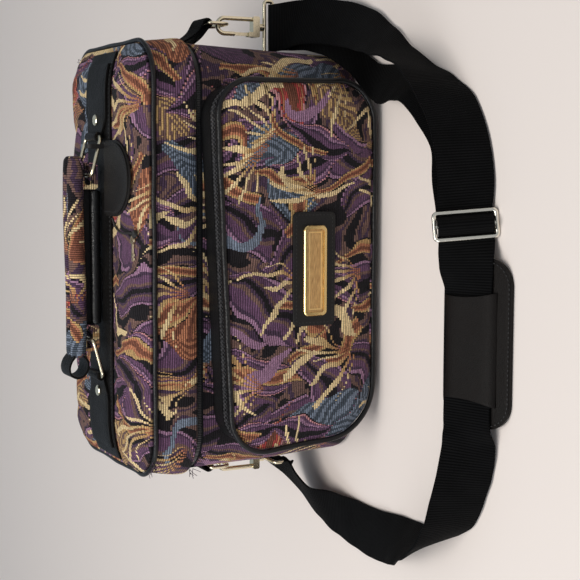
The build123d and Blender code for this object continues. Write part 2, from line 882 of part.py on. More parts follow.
def hook(side, dee_x):
    """Snap hook: a bent wire bow on a block with two ears and a pin for the gate."""
    face = Plane(origin=(dee_x, side_y, 0), x_dir=(side, 0, 0), z_dir=(0, -side, 0))
    with BuildPart() as body:
        with BuildLine(face) as path:
            Line((hook_half_width, hook_block_top - 3), (hook_half_width, bow_centre_z))
            ThreePointArc(
                (hook_half_width, bow_centre_z),
                (0, bow_centre_z + hook_half_width),
                (-hook_half_width, bow_centre_z),
            )
            Line((-hook_half_width, bow_centre_z), (-hook_half_width, nose_z))
        with BuildSketch(Plane(origin=(dee_x + side * hook_half_width, side_y, hook_block_top - 3))):
            Circle(hook_wire)
        sweep(path=path.wire())
        with BuildSketch(face.offset(-3.6)):
            with Locations((0, hook_base_z + hook_base_height / 2)):
                RectangleRounded(2 * hook_half_width + 4.6, hook_base_height, 1.6)
        extrude(amount=7.2)
        for low in (-3.6, 1.9):
            with BuildSketch(face.offset(low)):
                with Locations((-hook_half_width, hook_block_top + 1.0)):
                    Rectangle(3.8, 5.6)
            extrude(amount=1.7)
        with BuildSketch(face.offset(-3.6)):
            with Locations((-hook_half_width, gate_pivot_z)):
                Circle(0.6)
        extrude(amount=7.2)
        with BuildSketch(Plane(origin=(dee_x, side_y, hook_base_z))):
            Circle(1.6)
        extrude(amount=4.0, mode=Mode.SUBTRACT)
    return body.part


def gate(side, dee_x):
    """Sprung gate that closes the bow, turning on the hook's pin."""
    face = Plane(origin=(dee_x, side_y, 0), x_dir=(side, 0, 0), z_dir=(0, -side, 0))
    gate_top = nose_z - gap
    with BuildPart() as lever:
        with BuildSketch(face.offset(-1.6)):
            with Locations((-hook_half_width, gate_pivot_z)):
                Circle(1.6)
            with Locations((-hook_half_width, (gate_pivot_z + gate_top) / 2)):
                Rectangle(2.6, gate_top - gate_pivot_z)
            with Locations((-hook_half_width, gate_pivot_z)):
                Circle(0.66, mode=Mode.SUBTRACT)
        extrude(amount=3.2)
    return lever.part


def swivel(dee_x, across):
    """Swivel eye: a stud in the hook's block over a wire eye for the webbing."""
    eye = Plane(origin=(dee_x, side_y, eye_bar_z), x_dir=across, z_dir=Vector(across).cross(Vector(0, 0, 1)))
    with BuildLine(eye) as path:
        FilletPolyline(
            (-eye_breadth / 2, 0),
            (eye_breadth / 2, 0),
            (eye_breadth / 2, eye_height),
            (-eye_breadth / 2, eye_height),
            radius=eye_corner,
            close=True,
        )
    with BuildPart() as body:
        add(closed_tube(path.wire(), eye_wire, eye.z_dir))
        with BuildSketch(Plane(origin=(dee_x, side_y, eye_bar_z + eye_height))):
            Circle(1.5)
        extrude(amount=hook_base_z + 3.7 - eye_bar_z - eye_height)
        with BuildSketch(Plane(origin=(dee_x, side_y, eye_bar_z + eye_height + 1.0))):
            Circle(3.0)
        extrude(amount=hook_base_z - gap - eye_bar_z - eye_height - 1.0)
    return body.part


for label, side, dee_x, across in (
    ("left", -1, dee_left_x, (0, 1, 0)),
    ("right", 1, dee_right_x, (1, 0, 0)),
):
    keep(f"side_tab_{label}", side_tab(side, dee_x))
    keep(f"dee_{label}", dee(dee_x))
    keep(f"hook_{label}", hook(side, dee_x))
    keep(f"gate_{label}", gate(side, dee_x))
    keep(f"hook_swivel_{label}", swivel(dee_x, across))

# Shoulder strap: one length of webbing. Each station is a point on its middle line, the height of its
# lower edge and the direction across the webbing, from its upper edge to its lower one.
fold_radius = eye_wire + gap + webbing / 2
fold_top = eye_bar_z + fold_radius
fold_bottom = eye_bar_z - fold_radius
left_stations = [
    ((dee_left_x, side_y), fold_top, (0, -1, 0)),
    ((dee_left_x - 9.0, side_y - 2.0), eye_bar_z, (0.05, -0.99, -0.1)),
    ((dee_left_x - 28.0, side_y - 22.0), 10.0, (0.15, -0.75, 0.64)),
    ((-212.0, -55.0), 2.0, (-0.2, -0.1, 0.97)),
    ((-214.0, -80.0), 0.6, (-0.42, 0.25, 0.87)),
    ((-216.0, -112.0), 0.6, (-0.62, 0.0, 0.78)),
    ((-214.0, -145.0), 0.6, (-0.8, 0.05, 0.6)),
    ((-209.0, -172.0), 0.8, (-0.92, 0.16, 0.36)),
    ((-202.0, -196.0), 1.0, (-0.9, 0.42, 0.0)),
    ((-191.0, -218.0), 0.8, (-0.74, 0.47, -0.48)),
    ((-178.0, -236.0), 0.6, (-0.56, 0.1, -0.82)),
    ((-160.0, -249.0), 0.6, (-0.4, -0.42, -0.81)),
    ((-138.0, -255.0), 0.6, (-0.24, -0.62, -0.75)),
    ((-118.0, -256.0), 2.5, (-0.12, -0.8, -0.59)),
]
pad_origin = Vector(*pad_place)
pad_down = Vector(0, -0.94, -0.34).normalized()
pad_along = Vector(1, 0, 0)
pad_up = pad_along.cross(pad_down) * -1
pad_ends = (-58.5, 33.0)
slide_origin = Vector(*slide_place)
slide_along = Vector(0.985, 0.17, 0.0).normalized()
slide_lean = Vector(0.08, -0.5, -0.86)
slide_down = (slide_lean - slide_along * slide_lean.dot(slide_along)).normalized()
slide_out = slide_along.cross(slide_down) * -1
slide_bar = slide_width / 2 - slide_wire
behind_bar = slide_wire + gap + webbing / 2
over_bar = slide_wire + 3 * gap + 1.5 * webbing
right_stations = [
    ((62.0, -258.5), 0.6, (0.08, -0.5, -0.86)),
    ((92.0, -251.0), 0.6, (0.04, -0.5, -0.86)),
    ((118.0, -236.0), 0.6, (0.2, -0.42, -0.88)),
    ((136.0, -214.0), 0.6, (0.34, 0.05, -0.93)),
    ((149.0, -184.0), 0.6, (0.3, 0.1, -0.94)),
    ((161.0, -152.0), 0.6, (0.28, -0.05, -0.95)),
    ((dee_right_x - 12.0, -116.0), 2.0, (0.55, 0.0, -0.83)),
    ((dee_right_x - 2.0, -82.0), 8.0, (0.8, 0.0, -0.6)),
    ((dee_right_x + 2.0, -48.0), 20.0, (0.95, 0.0, -0.3)),
    ((dee_right_x, -20.0), 35.5, (1, 0, 0)),
    ((dee_right_x, side_y), fold_top, (1, 0, 0)),
]
return_stations = [
    ((dee_right_x, side_y), fold_bottom, (1, 0, 0)),
    ((dee_right_x, -18.0), fold_bottom - 3.0, (1, 0.02, -0.02)),
    ((dee_right_x - 2.0, -42.0), 15.0, (0.93, 0.28, -0.22)),
    ((dee_right_x - 12.0, -70.0), 7.0, (0.8, 0.48, -0.36)),
    ((159.0, -99.0), 3.0, (0.7, 0.56, -0.44)),
    ((145.0, -130.0), 1.5, (0.64, 0.55, -0.54)),
    ((133.0, -160.0), 0.6, (0.52, 0.42, -0.74)),
    ((127.5, -190.0), 0.6, (0.42, 0.2, -0.88)),
    ((123.0, -213.0), 0.6, (0.3, -0.1, -0.94)),
    ((108.0, -233.0), 0.6, (0.2, -0.42, -0.88)),
    ((86.0, -244.0), 0.6, (0.08, -0.5, -0.86)),
    ((62.0, -251.5), 0.6, (0.08, -0.5, -0.86)),
]


def place_station(station):
    """Middle point and width direction of one station, with its lower edge at the height given."""
    (x, y), edge_height, across = station
    direction = Vector(*across).normalized()
    return Vector(x, y, edge_height + (abs(direction.Z) * webbing_width + webbing) / 2), direction


def ribbon(placed):
    """Webbing lofted through rectangles whose width follows the direction given at each station."""
    with BuildPart() as body:
        for number, (middle, direction) in enumerate(placed):
            before = placed[max(number - 1, 0)][0]
            after = placed[min(number + 1, len(placed) - 1)][0]
            along = (after - before).normalized()
            square = (along - direction * along.dot(direction)).normalized()
            with BuildSketch(Plane(origin=middle, x_dir=direction, z_dir=square)):
                Rectangle(webbing_width, webbing)
        loft(ruled=True)
    return body.part


def eye_fold(dee_x, across):
    """Webbing folded round a swivel eye's lower bar."""
    start = Vector(dee_x, side_y, eye_bar_z) - Vector(*across) * webbing_width / 2
    with BuildPart() as fold:
        with BuildSketch(Plane(origin=start, z_dir=across)):
            Circle(fold_radius + webbing / 2)
            Circle(fold_radius - webbing / 2, mode=Mode.SUBTRACT)
        extrude(amount=webbing_width)
    return fold.part


pad_path = [(pad_origin + pad_along * reach, pad_down) for reach in pad_ends]
slide_path = [
    (slide_origin + slide_along * reach + slide_out * rise, slide_down)
    for reach, rise in (
        (-slide_bar - 1.5, -behind_bar),
        (-slide_bar + 1.5, -behind_bar),
        (-2.0, over_bar),
        (2.0, over_bar),
        (slide_bar - 1.5, -behind_bar),
        (slide_bar + 1.5, -behind_bar),
    )
]
lifted_station = ((6.0, -259.0), 8.0, (0.03, -0.82, -0.56))
main_path = (
    [place_station(station) for station in left_stations]
    + pad_path
    + [place_station(lifted_station)]
    + slide_path
    + [place_station(station) for station in right_stations]
)
slide_return = [
    (slide_origin + slide_along * reach + slide_out * rise, slide_down)
    for reach, rise in (
        (slide_bar + 3.0, -behind_bar - webbing - gap),
        (slide_bar - 2.0, -behind_bar - webbing - gap),
        (2.4, -webbing - slide_wire + 0.4),
        (1.0, -webbing / 2 - slide_wire - gap / 2),
    )
]
return_path = [place_station(station) for station in return_stations] + slide_return
main_length = sum((b[0] - a[0]).length for a, b in zip(main_path, main_path[1:]))
return_length = sum((b[0] - a[0]).length for a, b in zip(return_path, return_path[1:]))
print("webbing length", round(main_length), "+", round(return_length))

slide_start = slide_origin - slide_down * webbing_width / 2
with BuildPart() as slide_fold:
    with BuildSketch(Plane(origin=slide_start, z_dir=slide_down)):
        Circle(slide_wire + gap / 2 + webbing)
        Circle(slide_wire + gap / 2, mode=Mode.SUBTRACT)
    extrude(amount=webbing_width)
with BuildPart() as shoulder_strap:
    add(ribbon(main_path))
    add(eye_fold(dee_left_x, (0, 1, 0)))
    add(eye_fold(dee_right_x, (1, 0, 0)))
    add(ribbon(return_path))
    add(slide_fold.part)
keep("shoulder_strap", shoulder_strap.part)

# Wire slide with a middle bar
slide_plane = Plane(origin=slide_origin, x_dir=slide_along, z_dir=slide_out)
with BuildLine(slide_plane) as slide_outline:
    slide_half = (slide_width / 2 - slide_wire, slide_length / 2 - slide_wire)
    FilletPolyline(
        (-slide_half[0], -slide_half[1]),
        (slide_half[0], -slide_half[1]),
        (slide_half[0], slide_half[1]),
        (-slide_half[0], slide_half[1]),
        radius=slide_corner,
        close=True,
    )
with BuildPart() as strap_slide:
    add(closed_tube(slide_outline.wire(), slide_wire, slide_out))
    with BuildSketch(Plane(origin=slide_origin - slide_down * slide_half[1], z_dir=slide_down)):
        Circle(slide_wire - gap / 3)
    extrude(amount=2 * slide_half[1])
keep("strap_slide", strap_slide.part)

# Shoulder pad: a leather plate behind the webbing and a sleeve over it
pad_drop = 4.0
pad_back = webbing / 2 + gap
with BuildPart() as strap_pad:
    pad_middle = pad_origin - pad_up * pad_back + pad_down * pad_drop
    with BuildSketch(Plane(origin=pad_middle, x_dir=pad_along, z_dir=pad_up)):
        RectangleRounded(pad_length, pad_width, pad_radius)
    extrude(amount=-pad_leather)
keep("strap_pad", strap_pad.part)

sleeve_half = webbing_width / 2 + sleeve_margin
sleeve_roof = webbing / 2 + gap
with BuildPart() as strap_pad_sleeve:
    sleeve_start = pad_origin - pad_along * sleeve_length / 2
    with BuildSketch(Plane(origin=sleeve_start, x_dir=pad_down, z_dir=pad_along)):
        with BuildLine():
            Polyline(
                (-sleeve_half - sleeve_wall, pad_back),
                (-sleeve_half - sleeve_wall, -sleeve_roof - sleeve_wall),
                (sleeve_half + sleeve_wall, -sleeve_roof - sleeve_wall),
                (sleeve_half + sleeve_wall, pad_back),
                (sleeve_half, pad_back),
                (sleeve_half, -sleeve_roof),
                (-sleeve_half, -sleeve_roof),
                (-sleeve_half, pad_back),
                close=True,
            )
        make_face()
    extrude(amount=sleeve_length)
keep("strap_pad_sleeve", strap_pad_sleeve.part)


# Zip sliders: an outer plate with a bridge, and a pull that swings on the bridge's pin
def slider(face, width):
    """Slider plate on a face plane whose x runs along the zip and z points outwards."""
    with BuildPart() as body:
        with BuildSketch(face):
            RectangleRounded(slider_length, width, 2.0)
        extrude(amount=slider_plate)
        with BuildSketch(face.offset(slider_plate)):
            with Locations((0, -1.9), (0, 1.9)):
                Rectangle(5.0, 1.0)
        extrude(amount=3.2)
        pin_start = face.from_local_coords((0, -2.4, pull_pin_height))
        with BuildSketch(Plane(origin=pin_start, z_dir=face.y_dir)):
            Circle(pull_pin)
        extrude(amount=4.8)
    return body.part


def pull(pin, hang, out):
    """Pull with a loop round the bridge's pin, lying along one direction with its face to another."""
    face = Plane(origin=pin, x_dir=hang, z_dir=out)
    with BuildPart() as body:
        with BuildSketch(face.offset(-pull_thickness / 2)):
            with Locations((pull_length / 2, 0)):
                RectangleRounded(pull_length - 6, pull_width, 2.4)
            with Locations((2.6, 0)):
                Rectangle(5.2, 2.2)
        extrude(amount=pull_thickness)
        with BuildSketch(Plane(origin=pin, z_dir=face.y_dir).offset(-1.1)):
            Circle(pull_pin + 1.0)
        extrude(amount=2.2)
        with BuildSketch(Plane(origin=pin, z_dir=face.y_dir).offset(-1.5)):
            Circle(pull_pin + 0.08)
        extrude(amount=3.0, mode=Mode.SUBTRACT)
    return body.part


lid_slider_seat = (
    -trunk_width / 2 - gap,
    lid_slider_y - slider_length / 2,
    (trunk_height + lid_edge_height) / 2,
)
lid_face = Plane(origin=lid_slider_seat, x_dir=(0, 1, 0), z_dir=(-1, 0, 0))
lid_pin = lid_face.from_local_coords((0, 0, pull_pin_height))
keep("lid_slider", slider(lid_face, lid_slider_width))
keep("lid_pull", pull(lid_pin, (0, 1, 0), (-1, 0, 0)))

lean = (pocket_left - pocket_foot_left) / (pocket_top_left - pocket_base)
chain_x = pocket_foot_left + lean * (pocket_slider_z - pocket_base)
side_run = Vector(lean, 0, 1).normalized()
side_out = Vector(-1, 0, lean).normalized()
slider_seat = Vector(chain_x, -chain_middle, pocket_slider_z) + side_out * gap
pocket_face = Plane(origin=slider_seat, x_dir=side_run, z_dir=side_out)
pocket_pin = pocket_face.from_local_coords((0, 0, pull_pin_height))
keep("pocket_slider", slider(pocket_face, pocket_slider_width))
keep("pocket_pull", pull(pocket_pin, (0, 0, -1), (-1, 0, 0)))

print("ring pivot z", round(ring_pivot_z, 2), "bar", round(ring_bar_x, 2), round(ring_bar_z, 2))
lifted = degrees(asin((ring_rise + handle_lift) / ring_span) - asin(ring_rise / ring_span))
print("ring swing", round(lifted, 2), "deg over", handle_lift, "mm")
print("tag hinge", tag_hinge_y, round(tag_base_z + 2 * tag_leaf + seat_gap, 2))
print("pocket slider run", side_run, "pin", pocket_pin)
print("lid slider pin", lid_pin)
print("gate pivot z", round(gate_pivot_z, 2), "pieces", len(parts))
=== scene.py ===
import math

import bmesh
import bpy
import numpy as np
from mathutils import Matrix, Vector


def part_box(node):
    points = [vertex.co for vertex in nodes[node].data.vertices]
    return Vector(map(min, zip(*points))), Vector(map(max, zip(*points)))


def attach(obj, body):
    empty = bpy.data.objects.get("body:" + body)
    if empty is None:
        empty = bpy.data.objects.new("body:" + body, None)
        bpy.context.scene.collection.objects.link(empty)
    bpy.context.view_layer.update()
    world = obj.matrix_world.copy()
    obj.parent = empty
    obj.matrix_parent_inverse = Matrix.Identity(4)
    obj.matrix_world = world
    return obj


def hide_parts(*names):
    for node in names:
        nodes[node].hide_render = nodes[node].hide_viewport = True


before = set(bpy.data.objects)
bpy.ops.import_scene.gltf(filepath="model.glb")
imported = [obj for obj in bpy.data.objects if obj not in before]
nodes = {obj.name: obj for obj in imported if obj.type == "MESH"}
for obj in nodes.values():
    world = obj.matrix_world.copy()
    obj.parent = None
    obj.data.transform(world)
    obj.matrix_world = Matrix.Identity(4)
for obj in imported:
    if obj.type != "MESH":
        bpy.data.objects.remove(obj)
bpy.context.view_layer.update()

# Camera: it stands in front of the case and looks down on it, held on its side as the
# photograph was taken, so the case's right is at the top of the picture.
camera_place = Vector((0.0738, -0.9993, 0.5341))
camera_yaw, camera_pitch, camera_roll = (math.radians(turn) for turn in (6.14, 27.22, -2.65))
camera_focal_pixels = 1325.3
photo_side_pixels = 580.0
look_along = Vector((
    -math.sin(camera_yaw) * math.cos(camera_pitch),
    math.cos(camera_yaw) * math.cos(camera_pitch),
    -math.sin(camera_pitch),
))
level_right = Vector((math.cos(camera_yaw), math.sin(camera_yaw), 0.0))
level_up = level_right.cross(look_along)
case_right = math.cos(camera_roll) * level_right + math.sin(camera_roll) * level_up
case_up = math.cos(camera_roll) * level_up - math.sin(camera_roll) * level_right
lens = bpy.data.cameras.new("camera")
lens.sensor_width = 36.0
lens.lens = camera_focal_pixels / photo_side_pixels * lens.sensor_width
lens.clip_start = 0.05


def add_object(name, data):
    """New object in the scene."""
    added = bpy.data.objects.new(name, data)
    bpy.context.scene.collection.objects.link(added)
    return added


camera = add_object("camera", lens)
camera_axes = (-case_up, case_right, -look_along)
camera.matrix_world = Matrix([
    [camera_axes[column][row] for column in range(3)] + [camera_place[row]] for row in range(3)
] + [[0.0, 0.0, 0.0, 1.0]])
bpy.context.scene.camera = camera
bpy.context.scene.view_settings.view_transform = "Standard"

# Tag cord: a thin waxed cord looped through the luggage tag and knotted over a small key.
# It lies on the lid along the same points as its solid.
tag_left = 0.033
tag_cord_diameter = 0.0018
tag_cord_route = [
    (tag_left - 0.0013, -0.034, 0.1881),
    (tag_left - 0.0065, -0.0365, 0.1874),
    (tag_left - 0.0110, -0.0435, 0.1867),
    (tag_left - 0.0125, -0.0520, 0.1858),
    (tag_left - 0.0115, -0.0605, 0.1848),
    (tag_left - 0.0118, -0.0680, 0.1840),
]


def start_curve(name, radius, facets):
    """Curve with a round section."""
    curve = bpy.data.curves.new(name, "CURVE")
    curve.dimensions = "3D"
    curve.bevel_depth = radius
    curve.bevel_resolution = facets
    return curve


def add_spline(curve, kind, places):
    """Spline of one kind through places."""
    spline = curve.splines.new(kind)
    spline.points.add(len(places) - 1)
    for point, place in zip(spline.points, places):
        point.co = (*place, 1.0)
    return spline


def add_node(tree, kind, values=None, **options):
    """Add a shader node, set its options and feed its inputs from numbers or other sockets."""
    node = tree.nodes.new(kind)
    for name, value in options.items():
        setattr(node, name, value)
    for key, value in (values or {}).items():
        if isinstance(value, bpy.types.NodeSocket):
            tree.links.new(value, node.inputs[key])
        else:
            node.inputs[key].default_value = value
    return node


def combine(tree, operation, *terms):
    """Output of one vector math node; SCALE takes a plain number as its second term."""
    node = add_node(tree, "ShaderNodeVectorMath", operation=operation)
    for number, term in enumerate(terms):
        socket = node.inputs["Scale"] if operation == "SCALE" and number == 1 else node.inputs[number]
        if isinstance(term, bpy.types.NodeSocket):
            tree.links.new(term, socket)
        else:
            socket.default_value = term
    return node.outputs["Value" if operation == "LENGTH" else "Vector"]


def feed(tree, sockets, **values):
    """Link each value to the socket that its name spells."""
    for name, value in values.items():
        tree.links.new(value, sockets[name.replace("_", " ")])


def colour_steps(tree, value, stops, interpolation="LINEAR"):
    """Colour ramp over a value; each stop is a place and a colour."""
    node = add_node(tree, "ShaderNodeValToRGB", {0: value})
    ramp = node.color_ramp
    ramp.interpolation = interpolation
    while len(ramp.elements) < len(stops):
        ramp.elements.new(0.5)
    for element, (place, colour) in zip(ramp.elements, stops):
        element.position = place
        element.color = (*colour, 1.0)
    return node.outputs["Color"]


def start_material(name, **values):
    """New material with its shader's plain values; gives the material, its tree and its shader."""
    material = bpy.data.materials.new(name)
    material.use_nodes = True
    shader = material.node_tree.nodes["Principled BSDF"]
    for key, value in values.items():
        shader.inputs[key.replace("_", " ")].default_value = value
    return material, material.node_tree, shader


def add_bump(tree, shader, height, distance, strength=1.0):
    """Feed a height into the shader's normal."""
    bump = add_node(tree, "ShaderNodeBump", {"Height": height, "Distance": distance, "Strength": strength})
    tree.links.new(bump.outputs[0], shader.inputs["Normal"])


def object_place(tree):
    """Place on the piece in millimetres."""
    source = add_node(tree, "ShaderNodeTexCoord")
    return combine(tree, "SCALE", source.outputs["Object"], 1000.0)


def cord_material():
    """Black waxed cord with a slanting twist, painted darker in the twist's grooves as shade."""
    material, tree, shader = start_material("waxed cord", Roughness=0.5)
    place = object_place(tree)
    twist = add_node(tree, "ShaderNodeTexWave", {"Vector": place, "Scale": 0.55, "Distortion": 0.6})
    twist.bands_direction = "DIAGONAL"
    # Colour follows the twist's height: painted shade in its grooves.
    yarn = colour_steps(tree, twist.outputs[1], [(0.1, (0.006, 0.006, 0.006)), (0.9, (0.034, 0.032, 0.030))])
    feed(tree, shader.inputs, Base_Color=yarn)
    add_bump(tree, shader, twist.outputs[1], 0.0003)
    return material


waxed_cord = cord_material()
cord_curve = start_curve("tag_cord_line", tag_cord_diameter / 2, 4)
cord_curve.resolution_u = 12
cord_curve.materials.append(waxed_cord)
cord_line = add_spline(cord_curve, "NURBS", tag_cord_route)
cord_line.order_u = 3
cord_line.use_endpoint_u = True
tag_cord = add_object("tag_cord_loop", cord_curve)
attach(tag_cord, "tag")
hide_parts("tag_cord")

# Table and wall: a warm white table top and a pale blue-grey wall behind it, both matte, which
# only stage the case.
table_colour = (0.77, 0.70, 0.655)
wall_colour = (0.36, 0.43, 0.50)


def stage_material(name, colour):
    """Plain matte colour."""
    material, tree, shader = start_material(name, Roughness=0.6)
    shader.inputs["Base Color"].default_value = (*colour, 1.0)
    return material


bpy.ops.object.select_all(action="DESELECT")
bpy.ops.mesh.primitive_plane_add(size=6.0, location=(0, -1.6, 0))
table_top = bpy.context.object
table_top.name = "table_top"
table_top.data.materials.append(stage_material("white table", table_colour))
bpy.ops.mesh.primitive_plane_add(size=8.0, location=(0, 1.4, 1.0), rotation=(math.radians(90), 0, 0))
wall = bpy.context.object
wall.name = "wall"
wall.data.materials.append(stage_material("pale wall", wall_colour))

# Light: a large soft ceiling light in front, a window to the left and an even room.
world = bpy.data.worlds.new("room")
bpy.context.scene.world = world
world.use_nodes = True
room = world.node_tree.nodes["Background"]
room.inputs["Color"].default_value = (0.93, 0.96, 1.0, 1.0)
room.inputs["Strength"].default_value = 0.44


def soft_light(name, place, target, size, power, colour):
    """Square area light that faces a target."""
    data = bpy.data.lights.new(name, "AREA")
    data.size = size
    data.energy = power
    data.color = colour
    light = add_object(name, data)
    light.location = place
    light.rotation_euler = (Vector(target) - Vector(place)).to_track_quat("-Z", "Y").to_euler()


soft_light("ceiling_light", (-0.3, -0.5, 1.7), (0, 0, 0.1), 1.1, 21.5, (1.0, 0.965, 0.92))
soft_light("window_light", (-1.5, -1.0, 1.0), (0, 0, 0.1), 0.9, 10.5, (0.92, 0.96, 1.0))

# Tapestry: a black cotton ground with leaves, petals and plumes woven in coloured yarn. The yarn
# lies in fine ribs, so every edge of the pattern climbs in small steps.
rib_pitch = 1.75
stitch_pitch = 0.55
yarn_black = (0.010, 0.008, 0.010)
yarn_purple = (0.118, 0.058, 0.110)
yarn_deep_purple = (0.060, 0.034, 0.062)
yarn_lilac = (0.300, 0.165, 0.255)
yarn_mauve_brown = (0.150, 0.086, 0.072)
yarn_cream = (0.700, 0.530, 0.290)
yarn_gold = (0.460, 0.290, 0.125)
yarn_terracotta = (0.400, 0.160, 0.085)
yarn_rust = (0.170, 0.062, 0.038)
yarn_red = (0.330, 0.050, 0.045)
yarn_pink = (0.480, 0.220, 0.230)
yarn_blue = (0.055, 0.070, 0.092)
yarn_grey = (0.160, 0.190, 0.245)


def calculate(tree, operation, *terms):
    """Output of one math node."""
    return add_node(tree, "ShaderNodeMath", dict(enumerate(terms)), operation=operation).outputs[0]


def mix_colours(tree, share, first, second, blend="MIX"):
    """Colour mixed from two by a share."""
    node = add_node(tree, "ShaderNodeMix", data_type="RGBA", blend_type=blend)
    for number, value in ((0, share), (6, first), (7, second)):
        if isinstance(value, bpy.types.NodeSocket):
            tree.links.new(value, node.inputs[number])
        elif number:
            node.inputs[number].default_value = (*value, 1.0)
        else:
            node.inputs[number].default_value = value
    return node.outputs[2]


def noise(tree, place, scale, detail):
    """Soft cloudy value between 0 and 1."""
    values = {"Vector": place, "Scale": scale, "Detail": detail}
    return add_node(tree, "ShaderNodeTexNoise", values).outputs[0]


def darken(tree, colour, shade):
    """Colour multiplied by a shade."""
    grey = add_node(tree, "ShaderNodeCombineColor", {0: shade, 1: shade, 2: shade})
    return mix_colours(tree, 1.0, colour, grey.outputs[0], "MULTIPLY")


def full_wave(tree, value):
    """Wave that climbs from 0 to 1 and back over each whole number of a value."""
    share = calculate(tree, "FRACT", value)
    return calculate(tree, "MULTIPLY", calculate(tree, "PINGPONG", share, 0.5), 2.0)


def motif_cell(tree, given):
    """Scatter motifs: place from the nearest motif's middle, turned by its chance, and two chances."""
    shift = add_node(tree, "ShaderNodeCombineXYZ", {
        axis: calculate(tree, "MULTIPLY", given["Seed"], share) for axis, share in ((0, 7.31), (1, 3.17))})
    spread = combine(tree, "SCALE", given["Place"], calculate(tree, "DIVIDE", 1.0, given["Spacing"]))
    spread = combine(tree, "ADD", spread, shift.outputs[0])
    cells = add_node(tree, "ShaderNodeTexVoronoi", {"Vector": spread, "Scale": 1.0, "Randomness": 0.8})
    cells.voronoi_dimensions = "2D"
    away = combine(tree, "SUBTRACT", spread, cells.outputs["Position"])
    local = combine(tree, "SCALE", away, given["Spacing"])
    chance = add_node(tree, "ShaderNodeSeparateColor", {0: cells.outputs["Color"]})
    swing = calculate(tree, "SUBTRACT", chance.outputs[0], 0.5)
    turn = calculate(tree, "MULTIPLY_ADD", swing, given["Spread"], given["Heading"])
    turned = add_node(tree, "ShaderNodeVectorRotate", {
        "Vector": local, "Angle": calculate(tree, "MULTIPLY", turn, -1.0)}, rotation_type="Z_AXIS")
    return turned.outputs[0], chance.outputs[1], chance.outputs[2]


def start_group(name, given, results):
    """Empty node group that takes a place and the given sockets; gives it, its inputs and its results."""
    group = bpy.data.node_groups.new(name, "ShaderNodeTree")
    for way, sockets in (("INPUT", [("Place", "Vector"), *given]), ("OUTPUT", results)):
        for label, kind in sockets:
            group.interface.new_socket(label, in_out=way, socket_type=f"NodeSocket{kind}")
    return group, group.nodes.new("NodeGroupInput").outputs, group.nodes.new("NodeGroupOutput").inputs


def motif_group(name, sizes):
    """Empty node group for one kind of motif, with its place, sizes, heading and seed as inputs."""
    labels = ("Spacing", *sizes, "Heading", "Spread", "Seed")
    results = ("Depth", "Along", "Chance")
    return start_group(name, [(label, "Float") for label in labels], [(label, "Float") for label in results])


def woven_leaf_group():
    """Leaf or petal: Depth is 0 on its rib and 1 at its edge, Along runs from tip to tip."""
    tree, given, result = motif_group("woven leaf", ("Half Length", "Half Width", "Bend"))
    local, bend_chance, chance = motif_cell(tree, given)
    parts = add_node(tree, "ShaderNodeSeparateXYZ", {0: local})
    along = calculate(tree, "DIVIDE", parts.outputs[0], given["Half Length"])
    square = calculate(tree, "MULTIPLY", along, along)
    bend = calculate(tree, "MULTIPLY", calculate(tree, "SUBTRACT", bend_chance, 0.5), given["Bend"])
    across = calculate(tree, "ADD", parts.outputs[1], calculate(tree, "MULTIPLY", bend, square))
    taper = calculate(tree, "MAXIMUM", calculate(tree, "SUBTRACT", 1.0, square), 0.02)
    swell = calculate(tree, "MULTIPLY_ADD", along, -0.35, 1.0)
    width = calculate(tree, "MULTIPLY", calculate(tree, "MULTIPLY", taper, swell), given["Half Width"])
    depth = calculate(tree, "DIVIDE", calculate(tree, "ABSOLUTE", across), width)
    feed(tree, result, Depth=depth, Along=along, Chance=chance)
    return tree


def woven_plume_group():
    """Plume of blades that spread from one foot: Depth is under 1 on a blade, Along is 0 at the foot."""
    tree, given, result = motif_group("woven plume", ("Reach", "Blades", "Curl"))
    local, curl_chance, chance = motif_cell(tree, given)
    foot = combine(tree, "ADD", local, (14.0, 0.0, 0.0))
    parts = add_node(tree, "ShaderNodeSeparateXYZ", {0: foot})
    far = calculate(tree, "DIVIDE", combine(tree, "LENGTH", foot), given["Reach"])
    angle = calculate(tree, "ARCTAN2", parts.outputs[1], parts.outputs[0])
    curl = calculate(tree, "MULTIPLY", calculate(tree, "SUBTRACT", curl_chance, 0.5), given["Curl"])
    angle = calculate(tree, "ADD", angle, calculate(tree, "MULTIPLY", curl, far))
    turn_share = calculate(tree, "MULTIPLY", angle, given["Blades"])
    blade_number = calculate(tree, "ROUND", calculate(tree, "DIVIDE", turn_share, math.tau))
    own_chance = calculate(tree, "MULTIPLY", chance, 91.0)
    blade_place = calculate(tree, "MULTIPLY_ADD", blade_number, 3.7, own_chance)
    blade_chance = add_node(tree, "ShaderNodeTexWhiteNoise", {"W": blade_place}, noise_dimensions="1D")
    along = calculate(tree, "DIVIDE", far, calculate(tree, "MULTIPLY_ADD", blade_chance.outputs[0], 0.5, 0.5))
    edge = calculate(tree, "MULTIPLY_ADD", along, 1.3, -0.3)
    spare = calculate(tree, "SUBTRACT", calculate(tree, "ABSOLUTE", angle), 0.95)
    beyond = calculate(tree, "MULTIPLY", calculate(tree, "MAXIMUM", spare, 0.0), 30.0)
    wave = calculate(tree, "COSINE", turn_share)
    blade = calculate(tree, "SUBTRACT", calculate(tree, "ADD", edge, 1.0), wave)
    feed(tree, result, Depth=calculate(tree, "ADD", blade, beyond), Along=along, Chance=chance)
    return tree


